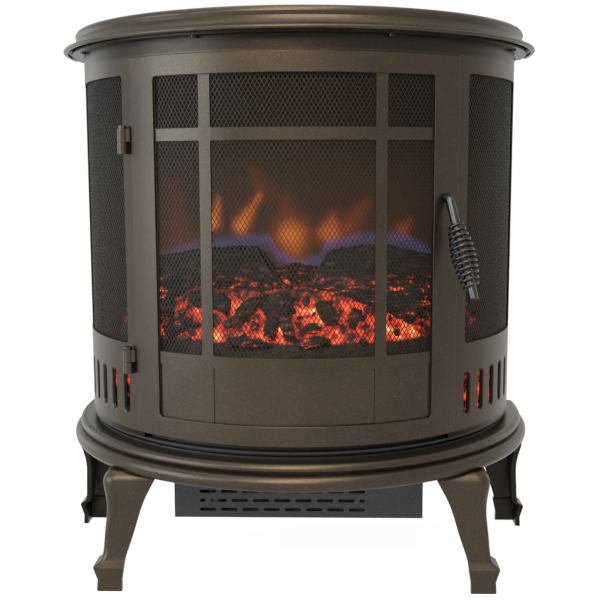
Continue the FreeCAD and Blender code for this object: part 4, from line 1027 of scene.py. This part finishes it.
@dataclass
class HandleCoil:
    """Wire grip: a helix round the leaning rod that swells to a barrel."""

    angle: float = 37.1
    knee_radius: float = 0.276
    knee_z: float = 0.44
    lean: float = 20.5
    start: float = 0.029
    length: float = 0.072
    turns: int = 12
    wire: float = 0.0016
    thin: float = 0.0069
    belly: float = 0.0119
    steps: int = 26
    wire_sides: int = 12

    def build(self) -> None:
        """Makes the coil and sets it in place of its CAD node."""
        form = NodeForm("handle_coil_wire", {
            "Turns": float(self.turns), "Start": self.start, "Length": self.length, "Thin": self.thin,
            "Belly": self.belly, "Wire": self.wire})
        graph = form.graph
        spans = self.turns * self.steps
        line = graph.add("GeometryNodeMeshLine", {"Count": spans + 1})
        share = graph.add("GeometryNodeInputIndex") / float(spans)
        radius = form.given("Thin") + (form.given("Belly") - form.given("Thin")) * (share * math.pi).sine()
        turn = share * form.given("Turns") * (2 * math.pi)
        along = form.given("Start") + form.given("Length") * share
        coil = graph.vector(radius * turn.cosine(), radius * turn.sine(), along)
        placed = graph.add("GeometryNodeSetPosition", {"Geometry": line, "Position": coil})
        path = graph.add("GeometryNodeMeshToCurve", {"Mesh": placed})
        section = {"Resolution": self.wire_sides, "Radius": form.given("Wire")}
        ring = graph.add("GeometryNodeCurvePrimitiveCircle", section, mode="RADIUS")
        sweep = {"Curve": path, "Profile Curve": ring, "Fill Caps": True}
        tube = graph.add("GeometryNodeCurveToMesh", sweep)
        smooth = graph.add("GeometryNodeSetShadeSmooth", {"Geometry": tube})
        mesh = form.mesh(smooth, Palette.material("blackened_steel"))
        mesh.transform(self.place())
        add_piece("handle_coil_wire", mesh, Body.DOOR, "blackened_steel", ["handle_coil"])

    def place(self) -> Matrix:
        """Finds the place of the coil's own axis along the leaning rod.

        Returns:
            Matrix to the row frame.
        """
        lean = math.radians(self.lean)
        turn = math.radians(self.angle)
        out = Vector((math.sin(turn), -math.cos(turn), 0.0))
        side = Vector((math.cos(turn), math.sin(turn), 0.0))
        down = out * math.sin(lean) - UP * math.cos(lean)
        knee = at_angle(self.knee_radius, self.angle, self.knee_z)
        return axes_matrix(side, down.cross(side), down, knee)


@dataclass
class FireLog:
    """Charred log with bark ridges on a bent axis.

    The axis is given as the part's source gives it: shares of the bed's radius to the right and
    forwards, and of a log's radius above the bed. The bark's depth is in metres, its furrows are a share
    of that depth and its swelling a share of the radius. Its grains are noise steps.
    """

    name: str
    node: str
    shares: Sequence[Point]
    radius: float
    seed: float
    slant: float = 0.0
    slant_from: float = 0.6
    log_radius: float = 0.037
    around: int = 72
    along: int = 96
    ease: float = 0.35
    end_length: float = 0.06
    end_size: float = 0.65
    bark: float = 0.0034
    furrow: float = 1.2
    grain_along: float = 7.0
    grain_around: float = 3.2
    swell: float = 0.05
    swell_along: float = 3.0

    def axis_point(self, share: Point) -> Vector:
        """Point of the axis in the row frame."""
        right, forward, rise = share
        return Vector((right * BED_RADIUS, AXIS_Y - forward * BED_RADIUS, BED_TOP + rise * self.log_radius))

    def centre(self, share: float) -> Tuple[Vector, Vector]:
        """Finds the axis point and direction at a share of the length.

        Args:
            share: 0 at the first end, 1 at the other.

        Returns:
            Point and unit direction.
        """
        spans = len(self.shares) - 1
        index = min(int(share * spans), spans - 1)
        local = share * spans - index
        eased = local * local * (3 - 2 * local) * self.ease + local * (1 - self.ease)
        start = self.axis_point(self.shares[index])
        end = self.axis_point(self.shares[index + 1])
        return start.lerp(end, eased), (end - start).normalized()

    def cut(self, share: float) -> float:
        """Finds the lean of the rings: upright except by the slanted end.

        Args:
            share: 0 at the first end, 1 at the other.

        Returns:
            Shift along the axis for each metre of height.
        """
        near = share if self.slant > 0 else 1 - share
        return self.slant * max(0.0, near - self.slant_from) / (1 - self.slant_from)

    def thickness(self, share: float, turn: float) -> float:
        """Finds the distance of the bark from the axis.

        Args:
            share: 0 at the first end, 1 at the other.
            turn: angle round the axis, in radians.

        Returns:
            Distance in metres.
        """
        end = min(min(share, 1 - share) / self.end_length, 1.0)
        cap = math.sqrt(max(0.0, 1 - (1 - end) ** 2)) * (1 - self.end_size) + self.end_size
        grain = Vector((share * self.grain_along, math.cos(turn) * self.grain_around,
                        math.sin(turn) * self.grain_around)) + Vector((self.seed, 0.0, 0.0))
        bark = noise.fractal(grain, 0.9, 2.1, 4) * self.bark
        bark -= abs(noise.noise(grain * 1.9)) * self.bark * self.furrow
        swell = noise.noise(Vector((share * self.swell_along + self.seed, turn, 0.0))) * self.swell
        return self.radius * (cap + swell) + bark

    def build(self) -> None:
        """Makes the log and sets it in place of its CAD node."""
        work = bmesh.new()
        rings: List[List[bmesh.types.BMVert]] = []
        for step in range(self.along + 1):
            share = step / self.along
            point, way = self.centre(share)
            across = way.cross(UP).normalized()
            over = across.cross(way)
            ring = []
            for side in range(self.around):
                turn = 2 * math.pi * side / self.around
                out = across * math.cos(turn) + over * math.sin(turn)
                spot = point + out * self.thickness(share, turn)
                spot -= way * (self.cut(share) * math.sin(turn) * self.radius)
                ring.append(work.verts.new(spot))
            rings.append(ring)
        fill_grid(work, [ring + ring[:1] for ring in rings])
        work.faces.new(rings[0])
        work.faces.new(list(reversed(rings[-1])))
        bmesh.ops.recalc_face_normals(work, faces=work.faces)
        add_piece(self.name, smooth_mesh(self.name, work), Body.STOVE, "charred_log", [self.node])


@dataclass(frozen=True)
class Lump:
    """One large burnt lump on the bank: angle, share of the slope, sizes in metres, lean in degrees."""

    angle: float
    share: float
    long: float
    wide: float
    lean: float


@dataclass
class EmberBed:
    """Glowing bank with burnt lumps and broken coals lying on it."""

    back: float = -0.062
    lip: float = 0.022
    lip_share: float = 0.16
    height: float = BED_TOP - FLOOR_TOP
    slope: float = 0.034
    top_radius: float = 0.085
    widest: float = 74.0
    columns: int = 240
    rows: int = 80
    grain: float = 60.0
    rough: float = 0.004
    rough_ease: float = 0.1
    least_edge: float = 0.00002
    lump_lift: float = 0.12
    lump_height: float = 0.45
    lump_square: float = 0.75
    lump_rough: float = 0.3
    lump_seed: float = 3.7
    coal_density: float = 1500.0
    coal_size: float = 0.0045
    coal_smallest: float = 0.4
    coal_largest: float = 1.2
    coal_above: float = 0.004
    coal_grain: float = 120.0
    coal_rough: float = 0.009
    coal_turn: float = 6.28
    coal_seed: int = 7
    turn_seed: int = 3
    coal_finish: Charred = Charred(
        "burnt_coal", ash=(0.2, 0.18, 0.16), ash_share=0.9, glow=1.0, glow_low=BED_TOP - 0.05,
        glow_high=BED_TOP - 0.004)
    lumps: Tuple[Lump, ...] = (
        Lump(-22.4, 0.72, 0.026, 0.018, -20.0), Lump(-14.4, 0.62, 0.036, 0.017, 55.0),
        Lump(-18.0, 0.42, 0.02, 0.011, 30.0), Lump(-4.6, 0.72, 0.034, 0.026, 10.0),
        Lump(-6.4, 0.38, 0.034, 0.016, 80.0), Lump(-2.0, 0.34, 0.03, 0.014, 105.0),
        Lump(9.4, 0.6, 0.032, 0.018, -55.0), Lump(17.3, 0.48, 0.026, 0.013, 60.0),
        Lump(4.8, 0.32, 0.02, 0.011, 0.0), Lump(5.4, 0.08, 0.036, 0.012, 5.0),
        Lump(-13.0, 0.06, 0.05, 0.012, 0.0), Lump(-44.0, 0.5, 0.04, 0.024, 20.0),
        Lump(-30.0, 0.78, 0.034, 0.02, -10.0), Lump(-36.0, 0.25, 0.036, 0.018, 30.0),
        Lump(39.0, 0.45, 0.03, 0.018, 20.0), Lump(26.0, 0.8, 0.04, 0.02, -25.0),
        Lump(52.0, 0.4, 0.04, 0.024, 10.0), Lump(-56.0, 0.4, 0.04, 0.024, 0.0))

    def profile(self) -> Tuple[Point, ...]:
        """Gives the bank's section: share of the way back, radius and height above the floor."""
        return (
            (0.0, BED_RADIUS, 0.0004),
            (self.lip_share, BED_RADIUS - 0.002, self.lip * 0.8),
            (0.22, BED_RADIUS - 0.004, self.lip + 0.001),
            (0.7, BED_RADIUS - self.slope, self.height - 0.001),
            (1.0, self.top_radius, self.height))

    def surface(self, angle: float, share: float) -> Vector:
        """Finds a point of the bank.

        Args:
            angle: degrees from the front.
            share: 0 at the floor in front, 1 at the back.

        Returns:
            The point in the row frame.
        """
        stops = self.profile()
        for (low, r_low, z_low), (high, r_high, z_high) in zip(stops, stops[1:]):
            if share <= high:
                local = (share - low) / (high - low)
                reach = r_low + (r_high - r_low) * local
                rise = z_low + (z_high - z_low) * local
                break
        point = at_angle(reach, angle, FLOOR_TOP + rise)
        point.y = min(point.y, AXIS_Y + self.back)
        if share > self.lip_share:
            lumpy = noise.fractal(point * self.grain, 0.8, 2.0, 4) * self.rough
            eased = lumpy * min(1.0, (share - self.lip_share) / self.rough_ease)
            point += outward(eased, angle, eased)
        return point

    def mound(self) -> bpy.types.Mesh:
        """Makes the bank.

        Returns:
            Its mesh.
        """
        work = bmesh.new()
        grid = []
        for column in range(self.columns + 1):
            angle = -self.widest + 2 * self.widest * column / self.columns
            spots = [self.surface(angle, row / self.rows) for row in range(self.rows + 1)]
            grid.append([work.verts.new(spot) for spot in spots])
        fill_grid(work, grid)
        bmesh.ops.remove_doubles(work, verts=work.verts, dist=self.least_edge)
        bmesh.ops.recalc_face_normals(work, faces=work.faces)
        return smooth_mesh("ember_mound", work)

    def lump_axes(self, lump: Lump) -> Tuple[Vector, Vector, Vector]:
        """Finds the directions of a lump that lies on the slope.

        Args:
            lump: the lump.

        Returns:
            Its long way, its short way and the way out of the slope.
        """
        steep = math.atan2(self.slope, self.height - self.lip)
        lean = math.radians(lump.lean)
        out = outward(1.0, lump.angle)
        side = Vector((-out.y, out.x, 0.0))
        climb = UP * math.cos(steep) - out * math.sin(steep)
        along = side * math.cos(lean) + climb * math.sin(lean)
        across = climb * math.cos(lean) - side * math.sin(lean)
        return along, across, out * math.cos(steep) + UP * math.sin(steep)

    def burnt_lumps(self) -> bpy.types.Mesh:
        """Makes the large burnt lumps.

        Returns:
            One mesh of all lumps.
        """
        work = bmesh.new()
        for number, lump in enumerate(self.lumps):
            along, across, normal = self.lump_axes(lump)
            reach = BED_RADIUS - self.slope * lump.share
            rise = self.lip + (self.height - self.lip) * lump.share
            middle = at_angle(reach, lump.angle, FLOOR_TOP + rise) + normal * lump.wide * self.lump_lift
            seed = Vector((number * self.lump_seed, 0.0, 0.0))
            ball = bmesh.ops.create_icosphere(work, subdivisions=5, radius=1.0)
            for vert in ball["verts"]:
                rough = 1.0 + noise.fractal(vert.co * 1.6 + seed, 0.7, 2.2, 5) * self.lump_rough
                rough -= abs(noise.noise(vert.co * 2.6 + seed)) * self.lump_rough
                x, y, z = (math.copysign(abs(value) ** self.lump_square, value) for value in vert.co)
                step = along * (x * lump.long / 2) + across * (y * lump.wide / 2)
                step += normal * (z * lump.wide * self.lump_height)
                vert.co = middle + step * rough
        return smooth_mesh("burnt_lumps", work)

    def coals(self, mound: bpy.types.Mesh) -> bpy.types.Mesh:
        """Scatters broken coals over the bank.

        Args:
            mound: mesh that carries them.

        Returns:
            One mesh of all coals.
        """
        form = NodeForm("loose_coals", {
            "Density": self.coal_density, "Seed": self.coal_seed, "Smallest": self.coal_smallest,
            "Largest": self.coal_largest, "Size": self.coal_size})
        graph = form.graph
        seed = form.given("Seed")
        place = graph.add("GeometryNodeInputPosition")
        high = graph.parts(place)[2].maths("GREATER_THAN", FLOOR_TOP + self.lip + self.coal_above)
        bank = {"Mesh": form.given("Geometry"), "Selection": high}
        spread = {**bank, "Density": form.given("Density"), "Seed": seed}
        points = graph.add("GeometryNodeDistributePointsOnFaces", spread, distribute_method="RANDOM")
        lump = graph.add("GeometryNodeMeshIcoSphere", {"Radius": form.given("Size"), "Subdivisions": 3})
        range_of_sizes = {2: form.given("Smallest"), 3: form.given("Largest"), "Seed": seed}
        scale = graph.add("FunctionNodeRandomValue", range_of_sizes, 1, data_type="FLOAT")
        range_of_turns = {0: (0.0, 0.0, 0.0), 1: (self.coal_turn,) * 3, "Seed": self.turn_seed}
        tilt = graph.add("FunctionNodeRandomValue", range_of_turns, 0, data_type="FLOAT_VECTOR")
        sizes = graph.vector(scale * 1.35, scale, scale * 0.8)
        placed = graph.add("GeometryNodeInstanceOnPoints", {
            "Points": points, "Instance": lump, "Rotation": tilt, "Scale": sizes})
        real = graph.add("GeometryNodeRealizeInstances", {"Geometry": placed})
        grain = {"Vector": place, "Scale": self.coal_grain, "Detail": 3.0}
        rough = graph.add("ShaderNodeTexNoise", grain, "Color")
        shift = graph.add("ShaderNodeVectorMath", {0: rough, 1: (0.5, 0.5, 0.5)}, operation="SUBTRACT")
        small = graph.add("ShaderNodeVectorMath", {0: shift, "Scale": self.coal_rough}, operation="SCALE")
        broken = graph.add("GeometryNodeSetPosition", {"Geometry": real, "Offset": small})
        smooth = graph.add("GeometryNodeSetShadeSmooth", {"Geometry": broken})
        return form.mesh(smooth, Palette.material("charred_log"), mound.copy())

    def build(self) -> None:
        """Makes the bank, its lumps and its coals."""
        mound = self.mound()
        coals = self.coals(mound)
        burnt = self.coal_finish.material()
        add_piece("ember_mound", mound, Body.STOVE, "ember_moulding", ["ember_bed"])
        add_piece("burnt_lumps", self.burnt_lumps(), Body.STOVE, "charred_log", material=burnt)
        add_piece("loose_coals", coals, Body.STOVE, "charred_log", material=burnt)


@dataclass
class SideGlow:
    """Ember-patterned sheets that stand on the neck and glow behind the vent slots, from start to end
    degrees: painted light for the lamps' red glow seen through the slots.
    """

    start: float = 43.5
    end: float = 75.0
    inset: float = 0.0105
    thick: float = 0.0012
    top: float = 0.2475
    grain: float = 160.0
    rough: float = 0.0008
    columns: int = 60
    rows: int = 40
    finish: Embers = Embers("slot_embers", lip_low=0.0, lip_high=0.001, cool=1.2, side_fade=0.0, cores=())

    def build(self) -> None:
        """Makes both glowing sheets in one mesh."""
        neck_low, neck_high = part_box("neck_band")
        radius = AXIS_Y - neck_low.y - self.inset
        work = bmesh.new()
        for side in (-1.0, 1.0):
            grid = []
            for column in range(self.columns + 1):
                angle = side * (self.start + (self.end - self.start) * column / self.columns)
                line = []
                for row in range(self.rows + 1):
                    spot = at_angle(radius, angle, neck_high.z + (self.top - neck_high.z) * row / self.rows)
                    lift = noise.fractal(spot * self.grain, 0.9, 2.0, 3) * self.rough
                    line.append(work.verts.new(spot + outward(lift, angle)))
                grid.append(line)
            fill_grid(work, grid)
        bmesh.ops.recalc_face_normals(work, faces=work.faces)
        bmesh.ops.solidify(work, geom=work.faces[:], thickness=self.thick)
        bmesh.ops.recalc_face_normals(work, faces=work.faces)
        mesh = smooth_mesh("side_glow", work)
        # Painted light: the sheets glow with an ember pattern in place of the lamps' red light seen through
        # the slots.
        add_piece("side_glow", mesh, Body.STOVE, "ember_moulding", material=self.finish.material())


@dataclass
class Dressing:
    """Puts the finishes of the record's slots on the CAD nodes."""

    frame: Dict[str, Any]
    shaded: Enamel = Enamel("rear_leg_enamel", (0.012, 0.0095, 0.0075), (0.016, 0.012, 0.009))
    shade_inset: float = 0.0004

    def dress(self) -> None:
        """Gives every CAD node its finish; the shell's own carries painted shade, and the rear legs get a
        darker copy of the enamel as painted shade.
        """
        nodes = self.frame["nodes"]
        for entry in self.frame["record"]["subparts"]:
            materials = nodes[entry["node"]].data.materials
            materials.clear()
            materials.append(Palette.material(entry["material_slot"]))
        # Painted shade: the shell's enamel darkens along its foot, in its slots and under the lid.
        nodes["body_shell"].data.materials[0] = self.shell_finish().material()
        # Painted shade: the rear legs take a darker copy of the bronze enamel for the shade they stand in.
        for leg in ("rear_left_leg", "rear_right_leg"):
            nodes[leg].data.materials[0] = self.shaded.material()
        log.info("dressed %d nodes", len(nodes))

    def shell_finish(self) -> Enamel:
        """Chooses the shell's enamel, with painted shade inside its slots, along its foot and under the
        lid.

        Returns:
            The finish.
        """
        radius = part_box("neck_band")[1].x
        foot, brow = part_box("door_frame")
        return Enamel("shell_enamel", shade_below=foot.z, shade_above=brow.z,
                      shade_within=radius - self.shade_inset, coat=0.0)


@dataclass(frozen=True)
class Lamp:
    """Soft square light: where it hangs, what it points at, its width in metres, watts and colour."""

    name: str
    place: Point
    aim: Point
    size: float
    power: float
    colour: Colour

    def hang(self) -> None:
        """Adds the light to the scene."""
        data = bpy.data.lights.new(self.name, "AREA")
        data.size = self.size
        data.energy = self.power
        data.color = self.colour
        lamp = place_object(self.name, data)
        way = Vector(self.aim) - Vector(self.place)
        lamp.rotation_euler = way.to_track_quat("-Z", "Y").to_euler()
        lamp.location = self.place


@dataclass
class Studio:
    """Camera, floor and soft light.

    The camera's angles are in radians, and its lens and sensor in millimetres.
    """

    yaw: float = -0.0275
    pitch: float = 0.1309
    roll: float = -0.0038
    place: Point = (0.0361, -1.1843, 0.4747)
    lens: float = 61.09
    sensor: float = 36.0
    farthest: float = 100.0
    surround: Colour = (0.95, 0.96, 1.0)
    surround_light: float = 0.08
    floor_reach: float = 12.0
    floor_tone: Colour = (0.6, 0.6, 0.6)
    floor_glow: float = 1.6
    floor_glow_share: float = 0.58
    sky_light: float = 0.9
    sky_width: float = 0.9
    sky_tilt: Point = (-0.2, -0.12, 0.0)
    lamps: Tuple[Lamp, ...] = (
        Lamp("key", (-2.0, -1.05, 0.8), (0.0, 0.0, 0.35), 1.5, 50.0, (0.76, 0.89, 1.0)),
        Lamp("front", (-0.3, -1.9, 1.6), (0.0, 0.0, 0.45), 1.1, 47.0, (1.0, 0.84, 0.6)),
        Lamp("left_rim", (-1.6, 1.0, 0.45), (0.0, 0.1, 0.35), 0.8, 3.0, (0.86, 0.94, 1.0)),
        Lamp("right_rim", (1.6, 1.0, 0.45), (0.0, 0.1, 0.35), 0.8, 1.2, (1.0, 1.0, 0.84)),
        Lamp("top", (0.1, -0.95, 2.1), (0.0, 0.0, 0.5), 0.9, 25.0, (1.0, 0.84, 0.62)))

    def camera(self) -> None:
        """Sets the camera at the photograph's viewing angle."""
        data = bpy.data.cameras.new("camera")
        data.sensor_width = self.sensor
        data.lens = self.lens
        data.clip_end = self.farthest
        camera = place_object("camera", data)
        level = Vector((math.sin(self.yaw), math.cos(self.yaw), 0.0))
        right = Vector((math.cos(self.yaw), -math.sin(self.yaw), 0.0))
        forward = level * math.cos(self.pitch) - UP * math.sin(self.pitch)
        up = level * math.sin(self.pitch) + UP * math.cos(self.pitch)
        right_turned = right * math.cos(self.roll) + up * math.sin(self.roll)
        up_turned = up * math.cos(self.roll) - right * math.sin(self.roll)
        camera.matrix_world = axes_matrix(right_turned, up_turned, -forward, Vector(self.place))
        bpy.context.scene.camera = camera

    @staticmethod
    def seen(graph: Graph) -> Value:
        """Tells the rays that see the backdrop from those that only carry its light.

        Args:
            graph: graph to add to.

        Returns:
            1 for a ray from the camera, a gloss or a glass, otherwise 0.
        """
        rays = graph.node("ShaderNodeLightPath")
        camera, gloss, glass = graph.outputs(rays, "Is Camera Ray", "Is Glossy Ray", "Is Transmission Ray")
        return camera.most(gloss).most(glass)

    def world(self) -> None:
        """Sets a white surround that lights the stove softly."""
        world = bpy.data.worlds.new("surround")
        graph = Graph.cleared(world)
        soft = graph.add("ShaderNodeBackground", {"Color": self.surround, "Strength": self.surround_light})
        white = graph.add("ShaderNodeBackground", {"Color": WHITE, "Strength": 1.0})
        both = graph.add("ShaderNodeMixShader", {0: self.seen(graph), 1: soft, 2: white})
        graph.node("ShaderNodeOutputWorld", {"Surface": both})
        bpy.context.scene.world = world

    def floor(self) -> None:
        """Lays a plain pale floor that keeps the stove's shadow."""
        mesh = bpy.data.meshes.new("floor")
        reach = self.floor_reach
        corners = [(-reach, -reach, 0.0), (reach, -reach, 0.0), (reach, reach, 0.0), (-reach, reach, 0.0)]
        mesh.from_pydata(corners, [], [(0, 1, 2, 3)])
        floor = place_object("floor", mesh)
        made = bpy.data.materials.new("pale_floor")
        graph = Graph.cleared(made)
        matt = graph.add("ShaderNodeBsdfDiffuse", {"Color": self.floor_tone})
        glow = graph.add("ShaderNodeEmission", {"Color": WHITE, "Strength": self.floor_glow})
        share = self.seen(graph) * self.floor_glow_share
        mixed = graph.add("ShaderNodeMixShader", {0: share, 1: matt, 2: glow})
        graph.node("ShaderNodeOutputMaterial", {"Surface": mixed})
        mesh.materials.append(made)

    def sky(self) -> None:
        """Adds a broad overhead light that whitens the floor evenly."""
        data = bpy.data.lights.new("sky", "SUN")
        data.energy = self.sky_light
        data.angle = self.sky_width
        place_object("sky", data).rotation_euler = self.sky_tilt

    def build(self) -> None:
        """Sets the whole studio."""
        bpy.context.scene.view_settings.view_transform = "Standard"
        self.camera()
        self.world()
        self.floor()
        for lamp in self.lamps:
            lamp.hang()
        self.sky()


@dataclass
class Stove:
    """The whole dressed stove."""

    frame: Dict[str, Any]
    sheets: Tuple[ExpandedMesh, ...] = (
        ExpandedMesh("door_mesh_fine", "door_mesh", Body.DOOR),
        ExpandedMesh("left_mesh_fine", "left_side_mesh", Body.STOVE),
        ExpandedMesh("right_mesh_fine", "right_side_mesh", Body.STOVE))
    logs: Tuple[FireLog, ...] = (
        FireLog("rear_left_bark", "rear_left_log", (
            (-0.81, 0.49, -0.27), (-0.47, 0.52, 0.19), (-0.29, 0.53, 0.24), (-0.075, 0.53, 0.16)),
            radius=0.037, seed=1.3, slant=0.75),
        FireLog("rear_right_bark", "rear_right_log", (
            (0.06, 0.53, 0.05), (0.28, 0.53, 0.22), (0.42, 0.53, 0.32), (0.79, 0.48, -0.32)),
            radius=0.037, seed=5.1, slant=-0.75),
        FireLog("stub_bark", "stub_log", (
            (-0.11, 0.41, -0.38), (0.0, 0.42, -0.22), (0.1, 0.41, -0.27)), radius=0.030, seed=8.7),
        FireLog("thin_bark", "thin_log", (
            (0.1, 0.74, 0.22), (0.3, 0.77, 0.05), (0.59, 0.79, -0.49)), radius=0.021, seed=12.9))

    def build(self) -> None:
        """Makes and dresses every piece in order."""
        Dressing(self.frame).dress()
        for piece in (*self.sheets, HandleCoil(), EmberBed(), SideGlow(), *self.logs):
            piece.build()


def main() -> None:
    """Builds the dressed stove in its studio."""
    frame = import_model()
    Stove(frame).build()
    Studio().build()


if __name__ == "__main__":
    main()
